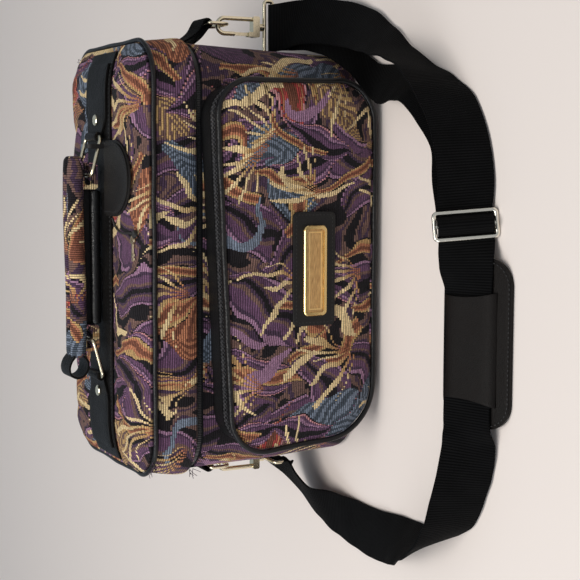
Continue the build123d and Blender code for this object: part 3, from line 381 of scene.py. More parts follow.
def tapestry_group():
    """The woven design: yarn colour, with painted shade in the grooves between ribs and between stitches, and
    height of the ribs.
    """
    leaf, plume = woven_leaf_group(), woven_plume_group()
    tree, given, result = start_group("tapestry design", [], [("Color", "Color"), ("Height", "Float")])
    millimetres = combine(tree, "SCALE", given["Place"], 1000.0)
    parts = add_node(tree, "ShaderNodeSeparateXYZ", {0: millimetres})
    wobble = noise(tree, millimetres, 0.035, 1.0)
    rib_line = calculate(tree, "MULTIPLY_ADD", wobble, 2.5, parts.outputs[1])
    rib_count = calculate(tree, "DIVIDE", rib_line, rib_pitch)
    rib = calculate(tree, "FLOOR", rib_count)
    half_step = calculate(tree, "MULTIPLY", calculate(tree, "FLOORED_MODULO", rib, 2.0), 0.5)
    stitch_run = calculate(tree, "DIVIDE", parts.outputs[0], stitch_pitch)
    stitch_count = calculate(tree, "ADD", stitch_run, half_step)
    stitch = calculate(tree, "FLOOR", stitch_count)
    snapped = add_node(tree, "ShaderNodeCombineXYZ", {
        0: calculate(tree, "MULTIPLY", stitch, stitch_pitch), 1: calculate(tree, "MULTIPLY", rib, rib_pitch)})
    drift = add_node(tree, "ShaderNodeTexNoise", {
        "Vector": snapped.outputs[0], "Scale": 0.020, "Detail": 1.5}, noise_dimensions="2D")
    moved = combine(tree, "SCALE", combine(tree, "SUBTRACT", drift.outputs["Color"], (0.5, 0.5, 0.5)), 40.0)
    place = combine(tree, "ADD", snapped.outputs[0], moved)

    def motif(group, spacing, sizes, heading, spread, seed):
        """Place one kind of motif; gives its depth, its length and its chance."""
        node = add_node(tree, "ShaderNodeGroup", node_tree=group)
        tree.links.new(place, node.inputs[0])
        for number, value in enumerate((spacing, *sizes, heading, spread, seed)):
            node.inputs[number + 1].default_value = value
        return node.outputs

    def lay(colour, motif_out, yarn, share=1.0, edge=1.0):
        """Weave a motif over what lies under it, where its chance is below a share."""
        inside = calculate(tree, "LESS_THAN", motif_out["Depth"], edge)
        chosen = calculate(tree, "LESS_THAN", motif_out["Chance"], share)
        return mix_colours(tree, calculate(tree, "MULTIPLY", inside, chosen), colour, yarn)

    upright = math.pi / 2
    ground = noise(tree, place, 0.040, 1.0)
    colour = colour_steps(tree, ground, [
        (0.0, yarn_black), (0.42, yarn_mauve_brown), (0.50, yarn_deep_purple), (0.56, yarn_mauve_brown),
        (0.63, yarn_black)], "CONSTANT")
    wide = motif(leaf, 54.0, (46.0, 18.0, 34.0), upright, 1.9, 1.0)
    colour = lay(colour, wide, colour_steps(tree, wide["Depth"], [
        (0.0, yarn_black), (0.14, yarn_deep_purple), (0.26, yarn_mauve_brown), (0.40, yarn_purple),
        (0.70, yarn_deep_purple), (0.80, yarn_lilac), (0.93, yarn_black)], "CONSTANT"))
    feather = motif(leaf, 66.0, (48.0, 15.0, 44.0), upright, 2.6, 2.0)
    barb_run = calculate(tree, "MULTIPLY_ADD", feather["Depth"], 0.45, feather["Along"])
    barbs = calculate(tree, "PINGPONG", barb_run, 0.09)
    feather_yarn = mix_colours(
        tree, calculate(tree, "GREATER_THAN", barbs, 0.045),
        colour_steps(tree, feather["Chance"], [
            (0.0, yarn_blue), (0.24, yarn_rust), (0.36, yarn_deep_purple),
            (0.48, yarn_mauve_brown)], "CONSTANT"),
        colour_steps(tree, feather["Chance"], [
            (0.0, yarn_grey), (0.24, yarn_terracotta), (0.36, yarn_purple), (0.48, yarn_gold)], "CONSTANT"))
    colour = lay(colour, feather, feather_yarn, share=0.60)
    petal = motif(leaf, 78.0, (22.0, 15.0, 12.0), upright, 3.0, 3.0)
    colour = lay(colour, petal, colour_steps(tree, petal["Depth"], [
        (0.0, yarn_rust), (0.28, yarn_red), (0.50, yarn_terracotta), (0.66, yarn_red), (0.80, yarn_pink),
        (0.93, yarn_black)], "CONSTANT"), share=0.30)
    bud = motif(leaf, 62.0, (30.0, 13.5, 22.0), upright, 1.2, 7.0)
    colour = lay(colour, bud, colour_steps(tree, bud["Depth"], [
        (0.0, yarn_black), (0.24, yarn_purple), (0.50, yarn_deep_purple), (0.62, yarn_lilac),
        (0.74, yarn_purple), (0.86, yarn_pink), (0.93, yarn_black)], "CONSTANT"), share=0.52)
    reed = motif(leaf, 44.0, (42.0, 5.2, 60.0), upright, 1.9, 4.0)
    colour = lay(colour, reed, colour_steps(tree, reed["Depth"], [
        (0.0, yarn_rust), (0.30, yarn_terracotta), (0.62, yarn_gold),
        (0.92, yarn_black)], "CONSTANT"), share=0.52)
    slim = motif(leaf, 50.0, (36.0, 3.4, 62.0), upright, 1.8, 5.0)
    colour = lay(colour, slim, colour_steps(tree, slim["Chance"], [
        (0.0, yarn_grey), (0.12, yarn_lilac), (0.20, yarn_cream)], "CONSTANT"), share=0.55)
    spray = motif(plume, 70.0, (66.0, 19.0, 1.4), upright, 1.2, 6.0)
    colour = lay(colour, spray, colour_steps(tree, spray["Along"], [
        (0.0, yarn_rust), (0.14, yarn_terracotta), (0.32, yarn_gold), (0.55, yarn_cream)]), share=0.92)

    stitch_place = add_node(tree, "ShaderNodeCombineXYZ", {0: stitch, 1: rib})
    yarn_chance = add_node(tree, "ShaderNodeTexWhiteNoise", {"Vector": stitch_place.outputs[0]})
    yarn_chance.noise_dimensions = "2D"
    streak_place = combine(tree, "MULTIPLY", snapped.outputs[0], (0.12, 1.2, 0.0))
    streak = noise(tree, streak_place, 1.0, 1.0)
    fade = noise(tree, millimetres, 0.012, 2.0)
    level = calculate(tree, "MULTIPLY_ADD", yarn_chance.outputs[0], 0.45, 0.42)
    level = calculate(tree, "MULTIPLY_ADD", streak, 0.95, level)
    level = calculate(tree, "MULTIPLY_ADD", fade, 0.35, level)
    rib_round = calculate(tree, "POWER", full_wave(tree, rib_count), 0.55)
    stitch_round = calculate(tree, "POWER", full_wave(tree, stitch_count), 0.7)
    # Groove and seam paint shade: darker yarn in the grooves between ribs and between stitches, over the
    # yarn's random tone.
    groove = calculate(tree, "MULTIPLY_ADD", rib_round, 1.08, 0.08)
    seam = calculate(tree, "MULTIPLY_ADD", stitch_round, 0.16, 0.88)
    shade = calculate(tree, "MULTIPLY", calculate(tree, "MULTIPLY", level, groove), seam)
    height = calculate(tree, "MULTIPLY_ADD", stitch_round, 0.30, rib_round)
    feed(tree, result, Color=darken(tree, colour, shade),
         Height=calculate(tree, "MULTIPLY_ADD", yarn_chance.outputs[0], 0.35, height))
    return tree


tapestry_design = tapestry_group()


def tapestry_material(name, offset):
    """Tapestry laid along the piece's own map; the offset picks another part of the cloth."""
    material, tree, shader = start_material(
        name, Roughness=0.85, Specular_IOR_Level=0.18, Sheen_Weight=0.03, Sheen_Roughness=0.5)
    cloth_map = add_node(tree, "ShaderNodeUVMap", uv_map="cloth")
    lay = add_node(tree, "ShaderNodeMapping", {"Vector": cloth_map.outputs[0], "Location": (*offset, 0.0)})
    design = add_node(tree, "ShaderNodeGroup", node_tree=tapestry_design)
    feed(tree, design.inputs, Place=lay.outputs[0])
    feed(tree, shader.inputs, Base_Color=design.outputs["Color"])
    add_bump(tree, shader, design.outputs["Height"], 0.0007, 0.9)
    return material


# Trunk: a tapestry shell over foam, sewn from one wrapped wall and a base. The wall swells
# between its corners and creases below the lid on the right.
rim_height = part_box("body_shell")[1].z
rim_half = (0.165, 0.084)
foot_share = 0.160 / 0.165
wall_thickness = 0.004
trunk_corner = 0.036
foot_round = 0.007


def start_block(name, low, high):
    """Plain block between two corners, left in edit mode and ready to shape."""
    bpy.ops.object.select_all(action="DESELECT")
    bpy.ops.mesh.primitive_cube_add(size=1.0, location=[(a + b) / 2 for a, b in zip(low, high)])
    block = bpy.context.object
    block.name = name
    block.scale = [b - a for a, b in zip(low, high)]
    bpy.ops.object.transform_apply(location=True, rotation=True, scale=True)
    bpy.ops.object.mode_set(mode="EDIT")
    return block


def start_slab(name, half, low, high):
    """Block over the case's middle, between two heights."""
    return start_block(name, (-half[0], -half[1], low), (half[0], half[1], high))


def pick(piece, kind, test):
    """Select the vertices, edges or faces of a piece in edit mode that pass a test."""
    bpy.context.tool_settings.mesh_select_mode = [kind == name for name in ("verts", "edges", "faces")]
    bpy.ops.mesh.select_all(action="DESELECT")
    mesh = bmesh.from_edit_mesh(piece.data)
    for part in getattr(mesh, kind):
        if test(part):
            part.select_set(True)
    bmesh.update_edit_mesh(piece.data)


def runs_along(axis):
    """Test for edges that run along one axis."""
    def test(edge):
        step = edge.verts[1].co - edge.verts[0].co
        return abs(step[axis]) > 0.999 * step.length
    return test


def cut_across(axis, *places):
    """Cut the piece in edit mode with planes square to an axis."""
    for place in places:
        spot, square = [0.0, 0.0, 0.0], [0.0, 0.0, 0.0]
        spot[axis], square[axis] = place, 1.0
        bpy.ops.mesh.select_all(action="SELECT")
        bpy.ops.mesh.bisect(plane_co=spot, plane_no=square)


def even_places(low, high, step):
    """Evenly spaced places strictly between two ends."""
    count = max(1, round((high - low) / step))
    return [low + (high - low) * number / count for number in range(1, count)]


def cut_evenly(axis, low, high, step):
    """Cut the piece in edit mode into even strips between two ends."""
    cut_across(axis, *even_places(low, high, step))


def cut_sides(half, corner, step):
    """Cut the flat sides of a rounded box evenly, and once more just inside its corners."""
    inside = 0.0001
    for axis in (0, 1):
        flat = half[axis] - corner
        cut_across(axis, *even_places(-flat, flat, step), -flat + inside, flat - inside)


def drop_faces(piece, test):
    """Delete the faces of a piece in edit mode that pass a test, and leave their edges."""
    pick(piece, "faces", test)
    bpy.ops.mesh.delete(type="ONLY_FACE")


def round_edges(piece, test, radius, segments):
    """Round the edges of a piece in edit mode that pass a test."""
    pick(piece, "edges", test)
    bpy.ops.mesh.bevel(offset=radius, segments=segments, affect="EDGES")


def finish_block(piece, move=None, thickness=0.0, round_off=0.0, subdivide=0):
    """Leave edit mode, move the points, thicken inwards, round the edges and shade smooth."""
    bpy.ops.mesh.select_all(action="SELECT")
    bpy.ops.mesh.remove_doubles(threshold=0.00002)
    bpy.ops.mesh.normals_make_consistent(inside=False)
    bpy.ops.object.mode_set(mode="OBJECT")
    if move:
        for vertex in piece.data.vertices:
            vertex.co = move(vertex.co)
    for kind, wanted in (("SOLIDIFY", thickness), ("BEVEL", round_off), ("SUBSURF", subdivide)):
        if not wanted:
            continue
        modifier = piece.modifiers.new(kind.lower(), kind)
        if kind == "SOLIDIFY":
            modifier.thickness = thickness
            modifier.offset = -1.0
        elif kind == "BEVEL":
            modifier.width = round_off
            modifier.segments = 3
            modifier.angle_limit = math.radians(50.0)
        else:
            modifier.levels = modifier.render_levels = subdivide
        bpy.ops.object.modifier_apply(modifier=modifier.name)
    bpy.ops.object.shade_smooth_by_angle(angle=math.radians(50.0))
    return piece


def lay_cloth_map(piece, place_on_cloth, wrap=None):
    """Write the piece's cloth map from each point's place; a wrapped map is joined at its seam."""
    mesh = piece.data
    while mesh.uv_layers:
        mesh.uv_layers.remove(mesh.uv_layers[0])
    layer = mesh.uv_layers.new(name="cloth")
    for polygon in mesh.polygons:
        spots = [place_on_cloth(mesh.vertices[number].co, polygon.normal) for number in polygon.vertices]
        across = [spot[0] for spot in spots]
        seam = wrap is not None and max(across) - min(across) > wrap / 2
        for loop, (u, v) in zip(polygon.loop_indices, spots):
            layer.data[loop].uv = (u + wrap if seam and u < wrap / 2 else u, v)
    return piece


def ring_distance(x, y, half_x, half_y, radius):
    """How far round a rounded rectangle a place lies, clockwise from the middle of its back."""
    inner_x, inner_y = half_x - radius, half_y - radius
    quarter = radius * math.pi / 2
    if x > inner_x and y > inner_y:
        return inner_x + radius * (math.pi / 2 - math.atan2(y - inner_y, x - inner_x))
    if x > inner_x and y < -inner_y:
        return inner_x + quarter + 2 * inner_y - radius * math.atan2(y + inner_y, x - inner_x)
    if x < -inner_x and y < -inner_y:
        return 3 * inner_x + 2 * quarter + 2 * inner_y + radius * math.atan2(-inner_x - x, -inner_y - y)
    if x < -inner_x and y > inner_y:
        return 3 * inner_x + 3 * quarter + 4 * inner_y + radius * math.atan2(y - inner_y, -inner_x - x)
    if x > inner_x:
        return inner_x + quarter + inner_y - y
    if x < -inner_x:
        return 3 * inner_x + 3 * quarter + 3 * inner_y + y
    if y < 0:
        return 2 * inner_x + 2 * quarter + 2 * inner_y - x
    return x if x >= 0 else ring_length(half_x, half_y, radius) + x


def ring_length(half_x, half_y, radius):
    """Whole way round a rounded rectangle."""
    return 4 * (half_x + half_y - 2 * radius) + math.tau * radius


def outward(x, y, half_x, half_y, radius):
    """Outward direction of a rounded rectangle at a place on it, and how flat the wall is there."""
    inner_x, inner_y = half_x - radius, half_y - radius
    over_x, over_y = abs(x) - inner_x, abs(y) - inner_y
    if over_x > 0 and over_y > 0:
        size = math.hypot(over_x, over_y)
        return math.copysign(over_x / size, x), math.copysign(over_y / size, y), 0.0
    if over_x > over_y:
        return math.copysign(1.0, x), 0.0, 1 - (y / inner_y) ** 2
    return 0.0, math.copysign(1.0, y), 1 - (x / inner_x) ** 4


def ripple(x, y, z, scale, seed=0.0):
    """Soft uneven wave between about -1 and 1, the same each run."""
    a = math.sin(x * scale + 1.7 * math.sin(z * scale * 0.7 + seed) + seed)
    b = math.sin(z * scale * 0.9 + 1.3 * math.sin(y * scale * 0.8 + seed * 2.0) + 2.1 * seed)
    c = math.sin(y * scale * 1.1 + 1.5 * math.sin(x * scale * 0.6 - seed) - seed)
    return (a * b + b * c + c * a) / 2


def swell_trunk(co):
    """Lean, swell and crease the trunk's wall as the soft wall does."""
    share = min(max(co.z / rim_height, 0.0), 1.0)
    out_x, out_y, flat = outward(co.x, co.y, *rim_half, trunk_corner)
    lean = foot_share + (1 - foot_share) * share
    if co.z < 0.0002:
        return Vector((co.x * lean, co.y, co.z))
    rise = math.sin(math.pi * share)
    front = 0.25 if out_y < -0.9 else 1.0
    push = rise * (0.0022 * flat * front + 0.0007 * ripple(co.x, co.y, co.z, 60.0))
    if out_x > 0.3:
        fold = math.sin(co.y * 190 + 26 * co.z + 1.2 * math.sin(co.z * 60))
        push -= 0.0022 * max(0.0, fold) ** 2 * rise * max(0.0, share - 0.2)
    if out_x < -0.3:
        push += 0.0010 * math.sin(co.y * 120 + 30 * co.z) * rise
    return Vector((co.x * lean + out_x * push, co.y + out_y * push, co.z))


trunk_cloth = start_slab("trunk_cloth", rim_half, 0.0, rim_height)
drop_faces(trunk_cloth, lambda face: face.normal.z > 0.9)
round_edges(trunk_cloth, runs_along(2), trunk_corner, 14)
round_edges(trunk_cloth, lambda edge: all(vertex.co.z < 0.0001 for vertex in edge.verts), foot_round, 4)
cut_evenly(2, foot_round, rim_height, 0.007)
cut_sides(rim_half, trunk_corner, 0.008)
finish_block(trunk_cloth, move=swell_trunk, thickness=wall_thickness)
trunk_round = ring_length(*rim_half, trunk_corner)


def trunk_place(co, normal):
    """Place on the cloth: round the wall and up it, or across the base."""
    if co.z < 0.0002 or normal.z < -0.9:
        return co.x, co.y
    return ring_distance(co.x, co.y, *rim_half, trunk_corner), co.z


lay_cloth_map(trunk_cloth, trunk_place, wrap=trunk_round)


def dress(piece, material, body, slot, *replaced):
    """Give a finished piece its material and its body and hide the nodes that it stands for; its slot is not
    used.
    """
    piece.data.materials.clear()
    piece.data.materials.append(material)
    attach(piece, body)
    if replaced:
        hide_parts(*replaced)
    return piece


dress(trunk_cloth, tapestry_material("trunk tapestry", (0.31, 0.02)), "trunk", "tapestry", "body_shell")

# Inside of the trunk: a black cloth lining over a stiff board.
def lining_material():
    """Thin black lining cloth with a fine plain weave."""
    material, tree, shader = start_material(
        "lining cloth", Roughness=0.62, Specular_IOR_Level=0.3, Sheen_Weight=0.05)
    place = object_place(tree)
    weave = add_node(tree, "ShaderNodeTexChecker", {"Vector": place, "Scale": 1.6})
    shade = noise(tree, place, 0.03, 3.0)
    base = colour_steps(tree, shade, [(0.3, (0.012, 0.012, 0.014)), (0.7, (0.030, 0.029, 0.033))])
    dark = mix_colours(tree, calculate(tree, "MULTIPLY", weave.outputs[1], 0.25), base, (0.004, 0.004, 0.005))
    feed(tree, shader.inputs, Base_Color=dark)
    add_bump(tree, shader, weave.outputs[1], 0.0001)
    return material


def coat(material, *names):
    """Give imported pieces, whose shape is right as it is, their finished material."""
    for name in names:
        for held in nodes[name].material_slots:
            held.material = material


lining_cloth = lining_material()
coat(lining_cloth, "body_lining", "lid_lining")


def board_material():
    """Grey-brown pressed board with short fibres."""
    material, tree, shader = start_material("pressed board", Roughness=0.9)
    place = object_place(tree)
    fibre = noise(tree, combine(tree, "MULTIPLY", place, (0.2, 1.0, 1.0)), 0.6, 4.0)
    base = colour_steps(tree, fibre, [(0.35, (0.11, 0.085, 0.06)), (0.7, (0.21, 0.17, 0.125))])
    feed(tree, shader.inputs, Base_Color=base)
    add_bump(tree, shader, fibre, 0.0002)
    return material


coat(board_material(), "bottom_board")

# Zips: black polyester tapes of fine twill, plain rows shaded as a coil round the lid and moulded
# teeth round the pocket. The tapes are sewn along the rim, the lid and the pocket's side walls.
def twill_weave(tree, place):
    """Height and colour of fine black slanting twill; the colour follows the height, with painted shade in
    the twill's grooves.
    """
    twill = add_node(tree, "ShaderNodeTexWave", {"Vector": place, "Scale": 0.9, "Distortion": 0.2})
    twill.bands_direction = "DIAGONAL"
    # The colour is painted shade: darker where the twill's height is low.
    return twill.outputs[1], colour_steps(
        tree, twill.outputs[1], [(0.1, (0.002, 0.002, 0.003)), (0.9, (0.012, 0.012, 0.014))])


def twill_material():
    """Fine black twill tape with a dusty look."""
    material, tree, shader = start_material(
        "zip tape", Roughness=0.75, Specular_IOR_Level=0.2, Sheen_Weight=0.03)
    place = object_place(tree)
    twill, base = twill_weave(tree, place)
    dust = noise(tree, place, 0.08, 4.0)
    grey = mix_colours(tree, calculate(tree, "MULTIPLY", dust, 0.08), base, (0.07, 0.07, 0.08))
    feed(tree, shader.inputs, Base_Color=grey)
    add_bump(tree, shader, twill, 0.00015)
    return material


def coil_material():
    """Black nylon coil: close round loops across the zip, with a painted highlight on each loop's top and
    painted shade between loops.
    """
    material, tree, shader = start_material("zip coil", Roughness=0.38)
    parts = add_node(tree, "ShaderNodeSeparateXYZ", {0: object_place(tree)})
    run = calculate(tree, "ADD", parts.outputs[0], parts.outputs[1])
    loop = full_wave(tree, calculate(tree, "DIVIDE", run, 1.3))
    # Painted shade between the loops and painted highlight on their tops.
    base = colour_steps(tree, loop, [(0.0, (0.003, 0.003, 0.003)), (0.6, (0.03, 0.03, 0.032))])
    feed(tree, shader.inputs, Base_Color=base)
    add_bump(tree, shader, calculate(tree, "POWER", loop, 0.5), 0.0007)
    return material


zip_tape = twill_material()
zip_coil = coil_material()
coat(zip_tape, "body_zip_tape", "lid_zip_tape")
coat(zip_coil, "body_zip_teeth", "lid_zip_teeth")


def two_part_material():
    """Pocket zip: twill tape where the piece is thin and glossier moulded teeth in its row."""
    material, tree, shader = start_material("pocket zip", Specular_IOR_Level=0.4)
    place = object_place(tree)
    parts = add_node(tree, "ShaderNodeSeparateXYZ", {0: place})
    row_depth, row_half = 104.55, 2.6
    from_row = calculate(tree, "ABSOLUTE", calculate(tree, "ADD", parts.outputs[1], row_depth))
    tooth = calculate(tree, "LESS_THAN", from_row, row_half)
    twill, cloth = twill_weave(tree, place)
    scuff = noise(tree, place, 0.5, 2.0)
    nylon = colour_steps(tree, scuff, [(0.3, (0.012, 0.012, 0.013)), (0.7, (0.085, 0.085, 0.090))])
    feed(tree, shader.inputs, Base_Color=mix_colours(tree, tooth, cloth, nylon))
    feed(tree, shader.inputs, Roughness=calculate(tree, "MULTIPLY_ADD", tooth, -0.38, 0.72))
    cloth_only = calculate(tree, "MULTIPLY", twill, calculate(tree, "SUBTRACT", 1.0, tooth))
    add_bump(tree, shader, cloth_only, 0.00015)
    return material


pocket_zip = two_part_material()
coat(pocket_zip, "pocket_zip_front", "pocket_zip_rear")

# Black trim: smooth vinyl for the piping, the side wall of the pocket and the hinge, and glossy
# leather for the band, the tabs and the tag. Both share one grain of fine pebbles and creases.
def grain_group():
    """Leather grain: shade, roughness and height from pebbles, creases and rubbed places."""
    tree, given, result = start_group(
        "leather grain", [(label, "Float") for label in ("Pebble", "Crease", "Gloss")],
        [(label, "Float") for label in ("Shade", "Roughness", "Height")])
    pebble = add_node(tree, "ShaderNodeTexVoronoi", {
        "Vector": given["Place"], "Scale": calculate(tree, "DIVIDE", 1.0, given["Pebble"])})
    crease = add_node(tree, "ShaderNodeTexNoise", {
        "Vector": given["Place"], "Scale": 0.09, "Detail": 4.0, "Distortion": 1.4})
    line = calculate(tree, "ABSOLUTE", calculate(tree, "SUBTRACT", crease.outputs[0], 0.5))
    fold = calculate(tree, "SMOOTH_MIN", calculate(tree, "MULTIPLY", line, 14.0), 1.0, 0.3)
    rub = noise(tree, given["Place"], 0.035, 5.0)
    rough = calculate(tree, "MULTIPLY_ADD", rub, 0.30, given["Gloss"])
    pebbles = calculate(tree, "MULTIPLY", pebble.outputs[0], -0.35)
    creases = calculate(tree, "MULTIPLY", fold, given["Crease"])
    feed(tree, result, Shade=calculate(tree, "MULTIPLY_ADD", rub, 1.2, 0.4),
         Roughness=calculate(tree, "MULTIPLY_ADD", pebble.outputs[0], 0.08, rough),
         Height=calculate(tree, "ADD", creases, pebbles))
    return tree


leather_grain = grain_group()


def leather_material(name, colour, pebble, crease, gloss, shine):
    """Black leather or vinyl; gloss is the lowest roughness, crease how deeply it is creased."""
    material, tree, shader = start_material(name, Specular_IOR_Level=shine)
    grain = add_node(tree, "ShaderNodeGroup", node_tree=leather_grain)
    feed(tree, grain.inputs, Place=object_place(tree))
    for key, value in (("Pebble", pebble), ("Crease", crease), ("Gloss", gloss)):
        grain.inputs[key].default_value = value
    feed(tree, shader.inputs, Base_Color=darken(tree, colour, grain.outputs["Shade"]),
         Roughness=grain.outputs["Roughness"])
    add_bump(tree, shader, grain.outputs["Height"], 0.0005)
    return material


piping_vinyl = leather_material("piping vinyl", (0.0045, 0.0045, 0.005), 0.9, 0.06, 0.16, 0.32)
gusset_vinyl = leather_material("gusset vinyl", (0.0045, 0.0045, 0.005), 0.8, 0.20, 0.34, 0.25)
gloss_leather = leather_material("glossy leather", (0.0038, 0.0033, 0.0030), 0.7, 0.18, 0.28, 0.14)

# Hinge: a black vinyl strip down the back, sewn to the trunk and to the lid's lower edge.
hinge_low, hinge_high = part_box("lid_hinge_strip")
hinge_strip = start_block("hinge_strip", hinge_low, hinge_high)
cut_evenly(0, hinge_low.x, hinge_high.x, 0.004)
cut_evenly(2, hinge_low.z, hinge_high.z, 0.003)


def wave_hinge(co):
    """Let the vinyl stand in small puckers between its stitches."""
    rise = math.sin(math.pi * (co.z - hinge_low.z) / (hinge_high.z - hinge_low.z))
    return Vector((co.x, co.y + 0.0007 * rise * (0.6 + ripple(co.x, 0.0, co.z, 150.0)), co.z))


finish_block(hinge_strip, move=wave_hinge)
dress(hinge_strip, gusset_vinyl, "trunk", "vinyl", "lid_hinge_strip")
upper_low, upper_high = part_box("lid_hinge_upper")
hinge_upper = start_block("hinge_upper", upper_low, upper_high)
cut_evenly(0, upper_low.x, upper_high.x, 0.008)
finish_block(hinge_upper, round_off=0.0002)
dress(hinge_upper, gusset_vinyl, "lid", "vinyl", "lid_hinge_upper")

# Pocket front: padded tapestry panel with soft edges, piped all round with black vinyl.
# Its lower corners are wide and its top slopes up to the right.
pocket_corners = [
    ((-0.132, 0.009), 0.040), ((0.134, 0.009), 0.030), ((0.132, 0.137), 0.024), ((-0.142, 0.1245), 0.026)]
panel_back = -0.1195
panel_front = -0.1240
piping_reach = 0.00215


def box_corners(low, high, *radii):
    """Rounded corners of a rectangle, anticlockwise from its lowest; one radius serves all four."""
    places = ((low[0], low[1]), (high[0], low[1]), (high[0], high[1]), (low[0], high[1]))
    return list(zip(places, radii if len(radii) == 4 else radii * 4))


def corner_outline(corners, grow=0.0, step=0.0025):
    """Points round an outline with a rounded corner at each place, grown outwards, in even steps."""
    points = []
    count = len(corners)
    for number in range(count):
        spot, radius = corners[number]
        here = Vector(spot)
        before = (Vector(corners[number - 1][0]) - here).normalized()
        after = (Vector(corners[(number + 1) % count][0]) - here).normalized()
        half_turn = before.angle(after) / 2
        centre = here + (before + after).normalized() * radius / math.sin(half_turn)
        start = here + before * radius / math.tan(half_turn) - centre
        end = here + after * radius / math.tan(half_turn) - centre
        turn = start.angle_signed(end)
        pieces = max(2, round(abs(turn) * radius / step))
        for part in range(pieces + 1):
            angle = -turn * part / pieces
            spoke = Vector((
                start.x * math.cos(angle) - start.y * math.sin(angle),
                start.x * math.sin(angle) + start.y * math.cos(angle)))
            points.append(centre + spoke * (1 + grow / radius))
    rounded = []
    for number, point in enumerate(points):
        follower = points[(number + 1) % len(points)]
        pieces = max(1, round((follower - point).length / step))
        rounded += [point.lerp(follower, part / pieces) for part in range(pieces)]
    return rounded


def select_only(piece):
    """Make a piece the one that operators work on."""
    bpy.ops.object.select_all(action="DESELECT")
    bpy.context.view_layer.objects.active = piece
    piece.select_set(True)


def plate_from(name, outlines, depth):
    """Flat plate in edit mode from one or more outlines on the XY plane, filled and extruded up."""
    curve = bpy.data.curves.new(name, "CURVE")
    curve.dimensions = "2D"
    curve.fill_mode = "BOTH"
    curve.extrude = depth / 2
    for outline in outlines:
        add_spline(curve, "POLY", [(x, y, 0.0) for x, y in outline]).use_cyclic_u = True
    select_only(add_object(name, curve))
    bpy.ops.object.convert(target="MESH")
    plate = bpy.context.object
    bpy.ops.object.mode_set(mode="EDIT")
    bpy.ops.mesh.select_all(action="SELECT")
    bpy.ops.mesh.remove_doubles(threshold=0.00001)
    return plate


def edge_distance(outline):
    """Function that gives how far inside a closed outline a place lies."""
    starts = np.array([tuple(point) for point in outline])
    steps = np.roll(starts, -1, axis=0) - starts
    sizes = np.maximum((steps ** 2).sum(axis=1), 1e-12)

    def distance(x, y):
        away = np.array((x, y)) - starts
        share = np.clip((away * steps).sum(axis=1) / sizes, 0.0, 1.0)
        return float(np.sqrt(((away - steps * share[:, None]) ** 2).sum(axis=1)).min())
    return distance


badge_middle = (-0.005, 0.0615)
badge_half = (0.049, 0.025)
pocket_outline = corner_outline(pocket_corners)
pocket_inside = edge_distance(pocket_outline)
pocket_cloth = plate_from("pocket_cloth", [pocket_outline], 0.002)
cut_evenly(0, -0.142, 0.134, 0.005)
cut_evenly(1, 0.009, 0.137, 0.005)


def pad_pocket(co):
    """Stand the panel up at the front of the pocket and pad it out from its edge."""
    inside = pocket_inside(co.x, co.y)
    rise = 1 - (1 - min(inside / 0.016, 1.0)) ** 2.4
    soft = 0.0005 * ripple(co.x, co.y, 0.0, 70.0, 1.0) * min(inside / 0.01, 1.0)
    sag = 0.0012 * math.exp(-((co.y - 0.035) / 0.018) ** 2) * min(inside / 0.03, 1.0)
    front = panel_back - 0.0006 + (panel_front - panel_back + 0.0006) * rise - soft - sag
    if all(abs(co[axis] - badge_middle[axis]) < badge_half[axis] + 0.001 for axis in (0, 1)):
        front = max(front, panel_front)
    return Vector((co.x, panel_back if co.z < 0 else front, co.y))


finish_block(pocket_cloth, move=pad_pocket)


def swell_cloth(piece, held, pressure, slack, reach):
    """Swell a padded piece in a short cloth simulation, held where it is sewn, and keep what it gives."""
    select_only(piece)
    start = [vertex.co.copy() for vertex in piece.data.vertices]
    seam = piece.vertex_groups.new(name="seam")
    seam.add([number for number, co in enumerate(start) if held(co)], 1.0, "REPLACE")
    cloth = piece.modifiers.new("swell", "CLOTH")
    cloth.settings.quality = 6
    cloth.settings.mass = 0.15
    cloth.settings.vertex_group_mass = "seam"
    cloth.settings.use_pressure = True
    cloth.settings.uniform_pressure_force = pressure
    cloth.settings.shrink_min = -slack
    cloth.settings.effector_weights.gravity = 0.0
    cloth.point_cache.frame_start, cloth.point_cache.frame_end = 1, 20
    for frame_number in range(1, 21):
        bpy.context.scene.frame_set(frame_number)
    bpy.ops.object.modifier_apply(modifier="swell")
    piece.vertex_groups.clear()
    bpy.context.scene.frame_set(1)
    for vertex, before in zip(piece.data.vertices, start):
        step, most = vertex.co - before, reach(before)
        if step.length > most:
            vertex.co = before + step * (most / step.length)


def clear_of_badge(x, z):
    """How far outside the badge's patch a place on the pocket lies."""
    return max(abs(x - badge_middle[0]) - badge_half[0], abs(z - badge_middle[1]) - badge_half[1], 0.0)


swell_cloth(
    pocket_cloth, pressure=4.0, slack=0.03,
    held=lambda co: (
        co.y > panel_back - 0.0001 or pocket_inside(co.x, co.z) < 0.003 or clear_of_badge(co.x, co.z) == 0),
    reach=lambda co: 0.0024 * min(pocket_inside(co.x, co.z) / 0.012, clear_of_badge(co.x, co.z) / 0.010, 1.0))
lay_cloth_map(pocket_cloth, lambda co, normal: (co.x, co.z))
dress(pocket_cloth, tapestry_material("pocket tapestry", (0.83, 0.27)), "trunk", "tapestry", "pocket_panel")


def bead_round(name, points, radius, body, replaced, waver):
    """Closed ring of vinyl piping through points, made as a bevelled curve and turned into a mesh."""
    curve = start_curve(name, radius, 4)
    curve.use_fill_caps = True
    soft = [
        Vector([waver * ripple(x + axis, y, z, 90.0, axis) for axis in range(3)]) for x, y, z in points]
    places = [Vector(point) + shift for point, shift in zip(points, soft)]
    add_spline(curve, "POLY", places).use_cyclic_u = True
    select_only(add_object(name, curve))
    bpy.ops.object.convert(target="MESH")
    bpy.ops.object.shade_smooth()
    dress(bpy.context.object, piping_vinyl, body, "vinyl", replaced)


